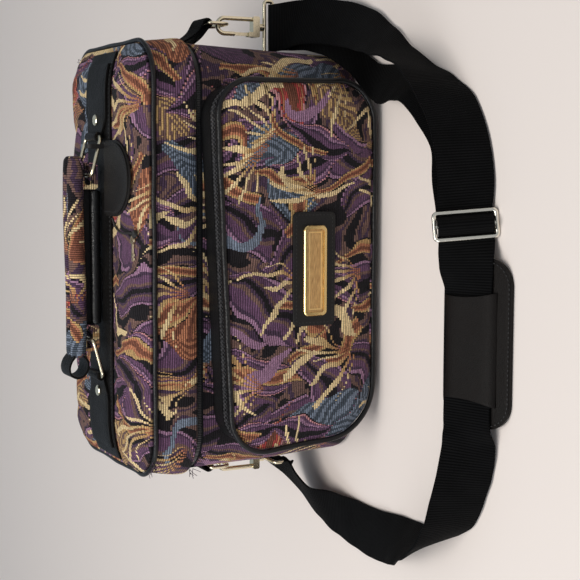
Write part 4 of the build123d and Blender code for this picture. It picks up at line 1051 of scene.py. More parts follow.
bead_y = -0.1209
bead_path = [(x, bead_y, z) for x, z in corner_outline(pocket_corners, grow=piping_reach)]
bead_round("pocket_bead", bead_path, 0.0020, "trunk", "pocket_piping", 0.0003)

# Pocket side wall: black vinyl in front of and behind the zip, and tapestry round the foot.
# It is one strip sewn into a ring, a little puckered by the seams.
gusset_wall = 0.0022
gusset_step = 0.0035
zip_end = 0.066


def gusset_strip(part, back, front, keep_part, pucker):
    """Strip of cloth round part of the pocket's outline, between two depths."""
    plate = plate_from(f"gusset_{part}", [pocket_outline], front - back)
    drop_faces(plate, lambda face: abs(face.normal.z) > 0.9)
    pick(plate, "verts", lambda vertex: not keep_part(vertex.co.y))
    bpy.ops.mesh.delete(type="VERT")
    cut_evenly(2, (back - front) / 2, (front - back) / 2, gusset_step)
    middle = (front + back) / 2

    def move(co):
        share = (co.z + (front - back) / 2) / (front - back)
        push = pucker * math.sin(math.pi * share) * (0.5 + ripple(co.x, co.y, 0.0, 130.0))
        out = Vector((co.x + 0.004, co.y - 0.070)).normalized()
        return Vector((co.x - out.x * push, -(middle + co.z), co.y - out.y * push))
    return finish_block(plate, move=move, thickness=gusset_wall)


for part, back, front in (("front", 0.1090, 0.1195), ("rear", 0.0843, 0.1001)):
    gusset = gusset_strip(part, back, front, lambda z: z > zip_end, 0.0008)
    dress(gusset, gusset_vinyl, "trunk", "vinyl", f"pocket_gusset_{part}")
gusset_base = gusset_strip("base", 0.0843, 0.1195, lambda z: z <= zip_end, 0.0009)
lay_cloth_map(gusset_base, lambda co, normal: (co.x + co.z, co.y) if abs(normal.x) > 0.7 else (co.x, co.y))
gusset_tapestry = tapestry_material("gusset tapestry", (0.12, 0.61))
dress(gusset_base, gusset_tapestry, "trunk", "tapestry", "pocket_gusset_base")

# Badge: a black leather patch sewn to the panel, under a bare brass-coloured plate with a raised
# rim. The patch's edge is stitched.
badge_leather = leather_material("badge leather", (0.0070, 0.0068, 0.0070), 0.8, 0.15, 0.38, 0.3)
patch_low, patch_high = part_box("badge_patch")
patch_middle = (patch_low + patch_high) / 2
badge_patch = start_block("badge_leather_patch", patch_low, patch_high)
round_edges(badge_patch, runs_along(1), 0.004, 6)
cut_evenly(0, patch_low.x, patch_high.x, 0.004)
cut_evenly(2, patch_low.z, patch_high.z, 0.004)


def soften_patch(co):
    """Press the patch in along its stitches and under the plate."""
    if co.y > patch_middle.y:
        return co.copy()
    edge_x = (patch_high.x - patch_low.x) / 2 - abs(co.x - patch_middle.x)
    edge_z = (patch_high.z - patch_low.z) / 2 - abs(co.z - patch_middle.z)
    edge = min(edge_x, edge_z)
    return Vector((co.x, co.y + 0.0003 * math.exp(-((edge - 0.0025) / 0.001) ** 2), co.z))


finish_block(badge_patch, move=soften_patch, round_off=0.0004)
dress(badge_patch, badge_leather, "trunk", "leather", "badge_patch")


def metal_group():
    """Plated metal: wear, fine scratches and dullness over the piece."""
    tree, given, result = start_group(
        "plated metal", [("Bright", "Color"), ("Worn", "Color"), ("Gloss", "Float")],
        [("Color", "Color"), ("Roughness", "Float"), ("Height", "Float")])
    wear = noise(tree, given["Place"], 0.22, 5.0)
    worn = add_node(tree, "ShaderNodeMapRange", {0: wear, 1: 0.56, 2: 0.90})
    scratch = noise(tree, combine(tree, "MULTIPLY", given["Place"], (0.25, 1.0, 2.5)), 1.6, 3.0)
    rough = calculate(tree, "MULTIPLY_ADD", worn.outputs[0], 0.16, given["Gloss"])
    feed(tree, result, Color=mix_colours(tree, worn.outputs[0], given["Bright"], given["Worn"]),
         Roughness=calculate(tree, "MULTIPLY_ADD", scratch, 0.12, rough), Height=scratch)
    return tree


plated_metal = metal_group()


def metal_material(name, bright, worn, gloss):
    """Plated metal with its colour where bright and where worn."""
    material, tree, shader = start_material(name, Metallic=1.0)
    finish = add_node(tree, "ShaderNodeGroup", node_tree=plated_metal)
    feed(tree, finish.inputs, Place=object_place(tree))
    finish.inputs["Bright"].default_value = (*bright, 1.0)
    finish.inputs["Worn"].default_value = (*worn, 1.0)
    finish.inputs["Gloss"].default_value = gloss
    feed(tree, shader.inputs, Base_Color=finish.outputs["Color"], Roughness=finish.outputs["Roughness"])
    add_bump(tree, shader, finish.outputs["Height"], 0.00001)
    return material


def plate_material():
    """Gold-coloured plate: bright rim, darker brushed and speckled field."""
    material, tree, shader = start_material("badge plate", Metallic=1.0)
    place = object_place(tree)
    parts = add_node(tree, "ShaderNodeSeparateXYZ", {0: place})
    rim_face, plate_back = -128.0, -126.9
    middle_x, middle_z = -6.4, 61.5
    field_half, line_outer, line_inner = (31.2, 7.0), (29.4, 5.5), (28.5, 4.6)
    field = calculate(tree, "GREATER_THAN", parts.outputs[1], rim_face)
    front = calculate(tree, "LESS_THAN", parts.outputs[1], plate_back)
    across = calculate(tree, "ABSOLUTE", calculate(tree, "ADD", parts.outputs[0], -middle_x))
    above = calculate(tree, "ABSOLUTE", calculate(tree, "ADD", parts.outputs[2], -middle_z))

    def within(half_width, half_height):
        """Whether a place lies inside a centred rectangle of the plate's field."""
        narrow = calculate(tree, "LESS_THAN", across, half_width)
        return calculate(tree, "MULTIPLY", narrow, calculate(tree, "LESS_THAN", above, half_height))
    inner = calculate(tree, "MULTIPLY", calculate(tree, "MULTIPLY", field, front), within(*field_half))
    line = calculate(tree, "SUBTRACT", within(*line_outer), within(*line_inner))
    grain = noise(tree, combine(tree, "MULTIPLY", place, (0.15, 1.0, 2.2)), 1.2, 4.0)
    speck = noise(tree, place, 1.4, 2.0)
    rim = colour_steps(tree, speck, [(0.3, (0.86, 0.60, 0.24)), (0.7, (0.96, 0.74, 0.36))])
    floor = colour_steps(tree, grain, [(0.3, (0.40, 0.23, 0.095)), (0.7, (0.80, 0.54, 0.25))])
    framed = mix_colours(tree, calculate(tree, "MULTIPLY", line, 0.8), floor, rim)
    feed(tree, shader.inputs, Base_Color=mix_colours(tree, inner, rim, framed))
    feed(tree, shader.inputs, Roughness=calculate(tree, "MULTIPLY_ADD", inner, 0.22, 0.24))
    relief = calculate(tree, "MULTIPLY", calculate(tree, "ADD", grain, line), inner)
    add_bump(tree, shader, relief, 0.0003)
    return material


coat(plate_material(), "badge_plate")
pale_brass = metal_material("pale brass", (0.82, 0.74, 0.54), (0.60, 0.51, 0.34), 0.14)
bright_nickel = metal_material("bright nickel", (0.84, 0.80, 0.70), (0.62, 0.58, 0.50), 0.13)
dark_metal = metal_material("dark plated metal", (0.09, 0.09, 0.10), (0.22, 0.21, 0.20), 0.30)
coat(pale_brass, "ring_left", "ring_right", "dee_left", "dee_right", "hook_left", "hook_right",
     "gate_left", "gate_right", "hook_swivel_left", "hook_swivel_right", "rivet_left", "rivet_right")
coat(bright_nickel, "strap_slide", "lid_slider", "lid_pull", "pocket_slider")
coat(dark_metal, "pocket_pull")
coat(metal_material("key metal", (0.84, 0.74, 0.52), (0.50, 0.40, 0.26), 0.26), "tag_key")
coat(waxed_cord, "tag_knot")


stitch_length = 0.0022
stitch_radius = 0.00032


def stitch_row(name, line, gap, up, body, shown=lambda place: True):
    """Row of real stitches in leather along a line, a gap apart, where it shows; up stands off it."""
    bpy.ops.object.select_all(action="DESELECT")
    bpy.ops.mesh.primitive_uv_sphere_add(segments=6, ring_count=4, radius=1.0)
    row = bpy.context.object
    row.name = name
    pattern = np.array([tuple(vertex.co) for vertex in row.data.vertices])
    faces = [tuple(polygon.vertices) for polygon in row.data.polygons]
    vertices, polygons = [], []
    rise = Vector(up).normalized()
    for place, run in walk(line, gap):
        if not shown(place):
            continue
        side = run.cross(rise).normalized()
        frame_axes = np.array([tuple(run * stitch_length / 2), tuple(side * stitch_radius * 1.3),
                               tuple(rise * stitch_radius)])
        base = len(vertices)
        vertices += [tuple(spot) for spot in pattern @ frame_axes + np.array(tuple(place))]
        polygons += [tuple(base + number for number in face) for face in faces]
    row.data.clear_geometry()
    row.data.from_pydata(vertices, [], polygons)
    bpy.ops.object.shade_smooth()
    dress(row, sewing_thread, body, "leather")


def walk(points, gap):
    """Evenly spaced places along a line of points, each with its direction."""
    spots = [Vector(point) for point in points]
    steps = []
    reach = gap / 2
    for here, there in zip(spots, spots[1:]):
        size = (there - here).length
        while size > 1e-9 and reach < size:
            steps.append((here.lerp(there, reach / size), (there - here).normalized()))
            reach += gap
        reach -= size
    return steps


def thread_material():
    """Black sewing thread, with painted shade and highlight in bands along its twist."""
    material, tree, shader = start_material("sewing thread", Roughness=0.55)
    twist = add_node(tree, "ShaderNodeTexWave", {"Vector": object_place(tree), "Scale": 1.6})
    twist.bands_direction = "DIAGONAL"
    # Colour bands along the twist: painted shade and highlight, with no relief under them.
    yarn = colour_steps(tree, twist.outputs[1], [(0.1, (0.004, 0.004, 0.005)), (0.9, (0.022, 0.021, 0.022))])
    feed(tree, shader.inputs, Base_Color=yarn)
    return material


sewing_thread = thread_material()
patch_inset = 0.0025
patch_loop = corner_outline(box_corners(
    (patch_low.x + patch_inset, patch_low.z + patch_inset),
    (patch_high.x - patch_inset, patch_high.z - patch_inset), 0.002))
patch_line = [(x, patch_low.y + 0.00025, z) for x, z in patch_loop + patch_loop[:1]]
stitch_row("badge_stitches", patch_line, 0.0030, (0, -1, 0), "trunk")

# Lid band: the side wall of the lid, tapestry over foam. It is a little wider at its lower edge,
# which is folded in over the zip, and it bulges softly between the edge and the piping.
edge_height = 0.1412
seam_height = 0.1740
edge_half = (0.169, 0.089)
edge_corner = 0.038
seam_half = (0.163, 0.083)
seam_corner = 0.030


def shrink_outline(x, y, share):
    """Move a place on the lid's lower outline towards its upper one by a share."""
    half = [a + (b - a) * share for a, b in zip(edge_half, seam_half)]
    corner = edge_corner + (seam_corner - edge_corner) * share
    moved = []
    for value, start, end in zip((x, y), edge_half, half):
        inner, inner_end = start - edge_corner, end - corner
        over = abs(value) - inner
        size = inner_end + over * corner / edge_corner if over > 0 else abs(value) * inner_end / inner
        moved.append(math.copysign(size, value))
    return moved


def swell_band(co):
    """Narrow the band upwards, bulge it and fold its lower edge in."""
    share = (co.z - edge_height) / (seam_height - edge_height)
    out_x, out_y, flat = outward(co.x, co.y, *edge_half, edge_corner)
    x, y = shrink_outline(co.x, co.y, share)
    rise = math.sin(math.pi * min(max(share, 0.0), 1.0))
    push = 0.0018 * rise * (0.35 + 0.65 * flat) + 0.0007 * rise * ripple(co.x, co.y, co.z, 75.0, 2.0)
    push -= 0.0016 * math.exp(-(co.z - edge_height) / 0.0016)
    return Vector((x + out_x * push, y + out_y * push, co.z))


band_cloth = start_slab("band_cloth", edge_half, edge_height, seam_height)
drop_faces(band_cloth, lambda face: abs(face.normal.z) > 0.9)
round_edges(band_cloth, runs_along(2), edge_corner, 16)
fold_height = edge_height + 0.0018
cut_across(2, edge_height + 0.0008, fold_height, *even_places(fold_height, seam_height, 0.004))
cut_sides(edge_half, edge_corner, 0.007)
finish_block(band_cloth, move=swell_band, thickness=0.0036)
band_round = ring_length(*edge_half, edge_corner)
lay_cloth_map(
    band_cloth, lambda co, normal: (ring_distance(co.x, co.y, *edge_half, edge_corner), co.z),
    wrap=band_round)
dress(band_cloth, tapestry_material("lid band tapestry", (0.57, 0.44)), "lid", "tapestry", "lid_band")

# Lid top: a padded tapestry panel, domed, piped into the band with black vinyl.
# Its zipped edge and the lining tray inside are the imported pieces.
panel_rise = 0.011
panel_side = 0.003


def seam_inset(x, y):
    """How far inside the lid's seam a place lies."""
    over_x = abs(x) - (seam_half[0] - seam_corner)
    over_y = abs(y) - (seam_half[1] - seam_corner)
    if over_x > 0 and over_y > 0:
        return seam_corner - math.hypot(over_x, over_y)
    return seam_corner - max(over_x, over_y)


def dome_height(x, y):
    """Height of the lid's top at a place."""
    inside = min(max(seam_inset(x, y), 0.0) / 0.040, 1.0)
    return seam_height + panel_side + (panel_rise - panel_side) * (1 - (1 - inside) ** 2.5)


def dome_panel(co):
    """Dome the panel, with soft uneven padding away from the band."""
    if co.z < seam_height + 0.001:
        return co.copy()
    inside = min(max(seam_inset(co.x, co.y), 0.0) / 0.02, 1.0)
    lift = 0.0
    if abs(co.y) > 0.034:
        roll = 0.0012 * math.exp(-((abs(co.y) - 0.052) / 0.014) ** 2)
        lift = (0.0007 * ripple(co.x, co.y, 0.0, 62.0, 3.0) + roll) * inside
    return Vector((co.x, co.y, dome_height(co.x, co.y) + lift - 0.0003))


panel_cloth = start_slab("panel_cloth", seam_half, seam_height, seam_height + panel_side)
drop_faces(panel_cloth, lambda face: face.normal.z < -0.9)
round_edges(panel_cloth, runs_along(2), seam_corner, 14)
cut_evenly(0, -seam_half[0], seam_half[0], 0.005)
cut_evenly(1, -seam_half[1], seam_half[1], 0.005)
finish_block(panel_cloth, move=dome_panel)


band_reach = 0.029
tag_low, tag_high = (0.004, -0.082), (0.096, 0.0)


def clear_of_fittings(x, y):
    """How far a place on the lid's top lies from the leather band and from where the tag hangs."""
    beside_tag = max(tag_low[0] - x, x - tag_high[0], tag_low[1] - y, y - tag_high[1])
    return max(min(abs(y) - band_reach, beside_tag), 0.0)


swell_cloth(
    panel_cloth, pressure=4.0, slack=0.03,
    held=lambda co: seam_inset(co.x, co.y) < 0.003 or clear_of_fittings(co.x, co.y) == 0,
    reach=lambda co: 0.0030 * min(
        max(seam_inset(co.x, co.y), 0.0) / 0.012, clear_of_fittings(co.x, co.y) / 0.010, 1.0))
wall = panel_cloth.modifiers.new("wall", "SOLIDIFY")
wall.thickness, wall.offset = 0.0026, -1.0
bpy.ops.object.modifier_apply(modifier="wall")
lay_cloth_map(panel_cloth, lambda co, normal: (co.x, co.y))
dress(panel_cloth, tapestry_material("lid top tapestry", (0.08, 0.93)), "lid", "tapestry", "lid_panel")

seam_reach = 0.00215
lid_seam = [
    (x, y, seam_height) for x, y in corner_outline(
        box_corners((-seam_half[0], -seam_half[1]), seam_half, seam_corner), grow=seam_reach)]
bead_round("lid_bead", lid_seam, 0.0018, "lid", "lid_piping", 0.0004)

# Loose yarns: where the piping's edge has frayed at the lid's corners, short ends of black and
# mauve yarn stick out of the seam.
def yarn_end_material():
    """Frayed black and mauve yarn."""
    material, tree, shader = start_material("frayed yarn", Roughness=0.8, Specular_IOR_Level=0.2)
    shade = noise(tree, object_place(tree), 0.4, 2.0)
    colour = colour_steps(
        tree, shade, [(0.42, (0.008, 0.007, 0.008)), (0.62, (0.110, 0.070, 0.100))])
    feed(tree, shader.inputs, Base_Color=colour)
    return material


frayed_yarn = yarn_end_material()


def loose_yarns(label, root, facing, count, spread, seed):
    """Short bent yarn ends that start along the lid's seam near a root and stand off it."""
    name = f"yarn_ends_{label}"
    outwards = Vector(facing).normalized()
    beside = Vector((-outwards.y, outwards.x, 0.0)).normalized()
    curve = start_curve(name, 0.00022, 1)
    for number in range(count):
        place = seed + number * 2.4
        rise = Vector((0, 0, 0.0015 * math.sin(place * 2.3)))
        start = Vector(root) + beside * spread * math.sin(place * 1.7) + rise
        tilt = Vector((0, 0, 0.7 * math.sin(place * 1.3)))
        lean = (outwards + beside * 0.8 * math.sin(place * 3.1) + tilt).normalized()
        size = 0.0045 + 0.0030 * math.sin(place * 0.9) ** 2
        droop = Vector((0, 0, -0.0022 * abs(math.sin(place))))
        spots = []
        for share in (0.0, 0.4, 0.75, 1.0):
            curl = beside * 0.0008 * math.sin(place + 5 * share)
            spots.append(start + lean * size * share + droop * share ** 2 + curl)
        add_spline(curve, "NURBS", spots).use_endpoint_u = True
    select_only(add_object(name, curve))
    bpy.ops.object.convert(target="MESH")
    return dress(bpy.context.object, frayed_yarn, "lid", "tapestry")


loose_yarns("front_left", (-0.1540, -0.0765, 0.1740), (-0.8, -0.6, 0.2), 20, 0.0060, 0.3)
loose_yarns("left_edge", (-0.1600, -0.0780, 0.1425), (-0.8, -0.5, -0.1), 6, 0.0030, 1.9)
loose_yarns("back_right", (0.1560, 0.0740, 0.1740), (0.7, 0.7, 0.3), 8, 0.0035, 4.2)

# Leather band over the lid: glossy black leather, stitched along both edges, that carries the
# handle. A tab at each end is folded round a wire ring and riveted to it.
band_half = (0.159, 0.026)
band_lift = 0.0003
leather_thickness = 0.0016


def lay_on_lid(co):
    """Lay the flat band on the lid's dome."""
    return Vector((co.x, co.y, dome_height(co.x, min(abs(co.y), 0.03)) + band_lift + co.z))


leather_band = start_slab("leather_band", band_half, 0.0, leather_thickness)
cut_evenly(0, -band_half[0], band_half[0], 0.005)
cut_evenly(1, -band_half[1], band_half[1], 0.005)
finish_block(leather_band, move=lay_on_lid, round_off=0.0005)
dress(leather_band, gloss_leather, "lid", "leather", "lid_leather_band")
for side, label in ((-1, "front"), (1, "back")):
    line_y = side * (band_half[1] - 0.0022)
    reach = band_half[0] - 0.003
    line = [(x, line_y, dome_height(x, 0.0) + band_lift + leather_thickness)
            for x in even_places(-reach - 0.004, reach + 0.004, 0.004)]
    stitch_row(f"band_stitches_{label}", line, 0.0034, (0, 0, 1), "lid")

tab_base = 0.18695
tab_thickness = 0.0022
tab_outer, tab_taper, tab_tip = 0.150, 0.112, 0.0955
tab_half, fold_half = 0.022, 0.012
ring_pivot = (0.094, 0.19075)


def handle_tab(side, label):
    """Leather tab on the band with a fold for the ring, on the left (-1) or right (+1)."""
    bend = (tab_taper - 0.006, 0.0195)
    upper = [(tab_tip, fold_half), bend, (tab_taper, tab_half), (tab_outer, tab_half)]
    outline = [(x, -y) for x, y in reversed(upper)] + upper
    if side < 0:
        outline = [(-x, y) for x, y in reversed(outline)]
    tab = plate_from(f"tab_{label}", [outline], tab_thickness)
    cut_evenly(0, min(x for x, y in outline), max(x for x, y in outline), 0.004)
    cut_evenly(1, -tab_half, tab_half, 0.004)

    def move(co):
        fall = dome_height(co.x, 0.0) - seam_height - panel_rise
        edge = min(tab_half - abs(co.y), abs(tab_outer - abs(co.x)))
        press = 0.0004 * math.exp(-((edge - 0.002) / 0.001) ** 2) if co.z > 0 else 0.0
        return Vector((co.x, co.y, tab_base + fall + co.z + tab_thickness / 2 - press))
    finish_block(tab, move=move, round_off=0.0005)
    dress(tab, gloss_leather, "lid", "leather", f"handle_tab_{label}")

    bpy.ops.object.select_all(action="DESELECT")
    bpy.ops.mesh.primitive_cylinder_add(
        vertices=32, radius=0.0037, depth=2 * fold_half, end_fill_type="NOTHING",
        location=(side * ring_pivot[0], 0, ring_pivot[1]), rotation=(math.radians(90), 0, 0))
    fold = bpy.context.object
    fold.name = f"tab_fold_{label}"
    bpy.ops.object.transform_apply(location=True, rotation=True, scale=True)
    bpy.ops.object.mode_set(mode="EDIT")
    cut_evenly(1, -fold_half, fold_half, 0.003)

    def pinch(co):
        squeeze = 1 - 0.05 * (co.y / fold_half) ** 2
        return Vector((side * ring_pivot[0] + (co.x - side * ring_pivot[0]) * squeeze, co.y,
                       ring_pivot[1] + (co.z - ring_pivot[1]) * squeeze))
    finish_block(fold, move=pinch, thickness=0.0018, round_off=0.0003)
    dress(fold, gloss_leather, "lid", "leather")


handle_tab(-1, "left")
handle_tab(1, "right")

# Handle: two padded tapestry rolls side by side, sewn over a glossy vinyl-wrapped strip. At each
# end a tapestry sleeve goes round the inner bar of the ring, and a leather loop hangs on the left.
grip_half = 0.079
roll_radius = 0.0063
roll_spacing = 0.0055
grip_low, grip_high = 0.20115, 0.21375
grip_side = roll_spacing + roll_radius


def puff_grip(co):
    """Groove the grip between its rolls, round its ends and pad it unevenly."""
    along = abs(co.x) / grip_half
    end = math.sqrt(max(0.0, 1 - max(0.0, (abs(co.x) - grip_half + 0.0050) / 0.0052) ** 2))
    middle = (grip_low + grip_high) / 2
    groove = math.exp(-(co.y / 0.0016) ** 2)
    rise = (co.z - middle) * (1 - 0.60 * groove * (1 if co.z > middle else 0.5))
    fat = 1 + 0.045 * ripple(co.x, 0.0, 0.0, 95.0, 5.0) - 0.05 * along ** 8
    droop = 0.0008 * math.sin(co.x * 38.0)
    return Vector((co.x, co.y * fat * (0.55 + 0.45 * end), middle + rise * fat * (0.45 + 0.55 * end) + droop))


grip_rolls = start_slab("grip_rolls", (grip_half, grip_side), grip_low, grip_high)
round_edges(grip_rolls, runs_along(0), 0.0060, 7)
cut_across(1, -0.0045, -0.0032, -0.0020, -0.0010, 0.0, 0.0010, 0.0020, 0.0032, 0.0045)
cut_across(0, *even_places(-grip_half, grip_half, 0.004), *(
    side * (grip_half - inset) for side in (-1, 1) for inset in (0.0004, 0.0011, 0.002, 0.003)))
finish_block(grip_rolls, move=puff_grip, subdivide=1)


def grip_place(co, normal):
    """Place on the cloth, which is cut across: round the grip and along it."""
    turn = math.atan2(co.y, co.z - (grip_low + grip_high) / 2)
    return turn * 0.0095, co.x


lay_cloth_map(grip_rolls, grip_place)
grip_tapestry = tapestry_material("grip tapestry", (0.74, 0.13))
dress(grip_rolls, grip_tapestry, "handle", "tapestry", "handle_grip")

sleeve_span = (0.0533, 0.0740)
sleeve_heights = (0.19075, 0.2040)
slot_span = (0.0565, 0.0718)
slot_heights = (0.19635, 0.20115)


def grip_sleeve(side, label):
    """Tapestry sleeve sewn round the ring's inner bar, open along the slot that the ring moves in."""
    outer = corner_outline(
        box_corners(*zip(sleeve_span, sleeve_heights), 0.0025, 0.0035, 0.0035, 0.0015), step=0.0012)
    slot = corner_outline(box_corners(*zip(slot_span, slot_heights), 0.0015), step=0.0012)
    sleeve = plate_from(f"grip_sleeve_{label}", [outer, slot], 0.0176)
    cut_evenly(2, -0.0088, 0.0088, 0.002)

    def move(co):
        narrow = 1 - 0.10 * math.exp(-((co.y - 0.1995) / 0.004) ** 2)
        return Vector((side * co.x, -side * co.z * narrow, co.y + 0.0004 * ripple(co.x, co.z, 0.0, 300.0)))
    finish_block(sleeve, move=move, round_off=0.0008)
    lay_cloth_map(sleeve, lambda co, normal: (co.x, co.z) if abs(normal.y) > 0.6 else (co.x + co.z, co.y))
    dress(sleeve, grip_tapestry, "handle", "tapestry", "handle_grip")


grip_sleeve(-1, "left")
grip_sleeve(1, "right")

wrap_half = (0.053, 0.0085)
wrap_heights = (0.18795, 0.19635)
wrap_vinyl = leather_material("wrap vinyl", (0.0045, 0.0045, 0.005), 1.0, 0.06, 0.12, 0.5)
wrap_strip = start_slab("wrap_strip", wrap_half, *wrap_heights)
round_edges(wrap_strip, runs_along(0), 0.0038, 6)
cut_evenly(0, -wrap_half[0], wrap_half[0], 0.003)
cut_across(1, -0.003, 0.0, 0.003)


def crease_wrap(co):
    """Slacken the vinyl in shallow slanting folds."""
    middle = sum(wrap_heights) / 2
    fold = 1 + 0.035 * math.sin(co.x * 260 + co.y * 300) * math.exp(-((abs(co.x) - 0.045) / 0.012) ** 2)
    return Vector((co.x, co.y * fold, middle + (co.z - middle) * fold))


finish_block(wrap_strip, move=crease_wrap, subdivide=1)
dress(wrap_strip, wrap_vinyl, "handle", "vinyl", "handle_wrap")
wrap_web = start_slab("wrap_web", (wrap_half[0], 0.0040), 0.1955, 0.2030)
cut_evenly(0, -wrap_half[0], wrap_half[0], 0.004)
finish_block(wrap_web, round_off=0.0006)
dress(wrap_web, gusset_vinyl, "handle", "vinyl", "handle_wrap")


def smooth_line(stations, step):
    """Smooth points and width directions through stations, each a place and a direction, by even steps."""
    spots = [Vector(spot) for spot, across in stations]
    turns = [Vector(across).normalized() for spot, across in stations]
    line = []
    for number in range(len(spots) - 1):
        p1, p2 = spots[number], spots[number + 1]
        p0 = spots[number - 1] if number else p1 * 2 - p2
        p3 = spots[number + 2] if number + 2 < len(spots) else p2 * 2 - p1
        knots = [0.0]
        for a, b in ((p0, p1), (p1, p2), (p2, p3)):
            knots.append(knots[-1] + max((b - a).length, 1e-6) ** 0.5)
        pieces = max(1, math.ceil((p2 - p1).length / step))
        for part in range(pieces):
            share = part / pieces
            t = knots[1] + (knots[2] - knots[1]) * share

            def blend_points(a, b, start, end):
                return a * ((end - t) / (end - start)) + b * ((t - start) / (end - start))
            a1 = blend_points(p0, p1, knots[0], knots[1])
            a2 = blend_points(p1, p2, knots[1], knots[2])
            a3 = blend_points(p2, p3, knots[2], knots[3])
            b1 = blend_points(a1, a2, knots[0], knots[2])
            b2 = blend_points(a2, a3, knots[1], knots[3])
            place = blend_points(b1, b2, knots[1], knots[2])
            ease = share * share * (3 - 2 * share)
            line.append((place, turns[number].lerp(turns[number + 1], ease).normalized()))
    line.append((spots[-1], turns[-1]))
    return line


def ribbon_piece(name, line, width, thickness, columns=8, edge_wave=0.0, closed=False):
    """Strip of webbing or leather along a line of places and width directions, with its own map."""
    places = [place for place, across in line]
    count = len(line)
    run = [0.0]
    for a, b in zip(places, places[1:]):
        run.append(run[-1] + (b - a).length)
    bpy.ops.object.select_all(action="DESELECT")
    bpy.ops.mesh.primitive_grid_add(x_subdivisions=columns, y_subdivisions=count - 1, size=1.0)
    strip = bpy.context.object
    strip.name = name
    mesh = strip.data
    while mesh.uv_layers:
        mesh.uv_layers.remove(mesh.uv_layers[0])
    cloth = mesh.uv_layers.new(name="cloth")
    flat = [(vertex.co.x, vertex.co.y) for vertex in mesh.vertices]
    for loop in mesh.loops:
        x, y = flat[loop.vertex_index]
        cloth.data[loop.index].uv = (run[round((y + 0.5) * (count - 1))], x * width)
    for vertex, (x, y) in zip(mesh.vertices, flat):
        number = round((y + 0.5) * (count - 1))
        before, after = max(number - 1, 0), min(number + 1, count - 1)
        if closed and number in (0, count - 1):
            before, after = count - 2, 1
        place, across = line[number]
        along = (places[after] - places[before]).normalized()
        face = along.cross(across).normalized()
        bend = edge_wave * abs(x) * math.sin(run[number] * 70 + 3 * x)
        vertex.co = place + across * x * width + face * bend
    thicken = strip.modifiers.new("thicken", "SOLIDIFY")
    thicken.thickness = thickness
    thicken.offset = 0.0
    bpy.ops.object.modifier_apply(modifier="thicken")
    bpy.ops.object.mode_set(mode="EDIT")
    bpy.ops.mesh.select_all(action="SELECT")
    if closed:
        bpy.ops.mesh.remove_doubles(threshold=0.00002)
    bpy.ops.mesh.normals_make_consistent(inside=False)
    bpy.ops.object.mode_set(mode="OBJECT")
    bpy.ops.object.shade_smooth_by_angle(angle=math.radians(50))
    return strip


loop_across = (0, 1, 0)
loop_route = [(-0.0775, 0.2040), (-0.0815, 0.2008), (-0.0865, 0.2006), (-0.0925, 0.2037), (-0.0945, 0.2090),
              (-0.0922, 0.2142), (-0.0870, 0.2158), (-0.0815, 0.2142), (-0.0775, 0.2112)]
handle_loop = ribbon_piece(
    "end_loop", smooth_line([((x, 0.0, z), loop_across) for x, z in loop_route], 0.0012), 0.0210, 0.0016)
dress(handle_loop, gloss_leather, "handle", "leather", "handle_loop")

# Luggage tag: two half-round leaves of black leather sewn together round the edge, hung on the
# right ring by a thin leather band. A cord with a small key hangs from it.
tag_hinge = (-0.0215, 0.1876)
tag_slope = math.radians(4.0)
tag_span = (0.033, 0.091)
tag_length = 0.046
leaf_thickness = 0.0013
tag_leather = leather_material("tag leather", (0.0065, 0.0058, 0.0055), 0.7, 0.10, 0.30, 0.35)


def tag_outline(trim):
    """Half-round outline of one leaf, from its straight edge, taken in by a trim."""
    left, right = tag_span[0] + trim, tag_span[1] - trim
    middle, half = (left + right) / 2, (right - left) / 2
    shoulder = -tag_length / 3
    depth = tag_length - trim + shoulder
    points = [(left, 0.0), (left, shoulder / 2)]
    for part in range(33):
        turn = math.pi * part / 32
        points.append((middle - half * math.cos(turn), shoulder - depth * math.sin(turn)))
    return points + [(right, shoulder / 2), (right, 0.0)]


def on_tag(x, y, lift):
    """Place on the tag's plane, which slopes down to the front and curls a little at its tip."""
    curl = 0.0010 * (y / tag_length) ** 2
    return Vector((x, tag_hinge[0] + y * math.cos(tag_slope) - lift * math.sin(tag_slope),
                   tag_hinge[1] + y * math.sin(tag_slope) + lift * math.cos(tag_slope) + curl))


def tag_leaf(name, trim, base, *replaced):
    """One leaf, cut, rounded and laid on the tag's plane."""
    leaf = plate_from(name, [tag_outline(trim)], leaf_thickness)
    cut_evenly(1, -tag_length + trim, 0.0, 0.004)
    cut_evenly(0, tag_span[0], tag_span[1], 0.004)
    finish_block(leaf, move=lambda co: on_tag(co.x, co.y, base + co.z + leaf_thickness / 2), round_off=0.0004)
    return dress(leaf, tag_leather, "tag", "leather", *replaced)


tag_leaf("tag_leaf_back", 0.0, 0.0, "tag_back")
tag_leaf("tag_leaf_front", 0.0015, leaf_thickness + 0.00005, "tag_front")
tag_line = [on_tag(x, y, 2 * leaf_thickness + 0.0001) for x, y in tag_outline(0.0035)]
stitch_row("tag_stitches", tag_line, 0.0030, (0, 0, 1), "tag")

tag_band_low, tag_band_high = (-0.02145, 0.18695), (-0.01185, 0.20325)
tag_band_inset = 0.0006
tag_band_outline = corner_outline(box_corners(
    [place + tag_band_inset for place in tag_band_low],
    [place - tag_band_inset for place in tag_band_high], 0.0028), step=0.0012)
loop_line = [(Vector((0.0865, y, z)), Vector((1, 0, 0))) for y, z in tag_band_outline + tag_band_outline[:1]]
tag_band = ribbon_piece("tag_band", loop_line, 0.0035, 0.0011, columns=3, closed=True)
dress(tag_band, tag_leather, "lid", "leather", "tag_strap")

# Side tabs: black webbing sewn to the side wall below the lid and folded round the dee rings.
side_y = -0.005


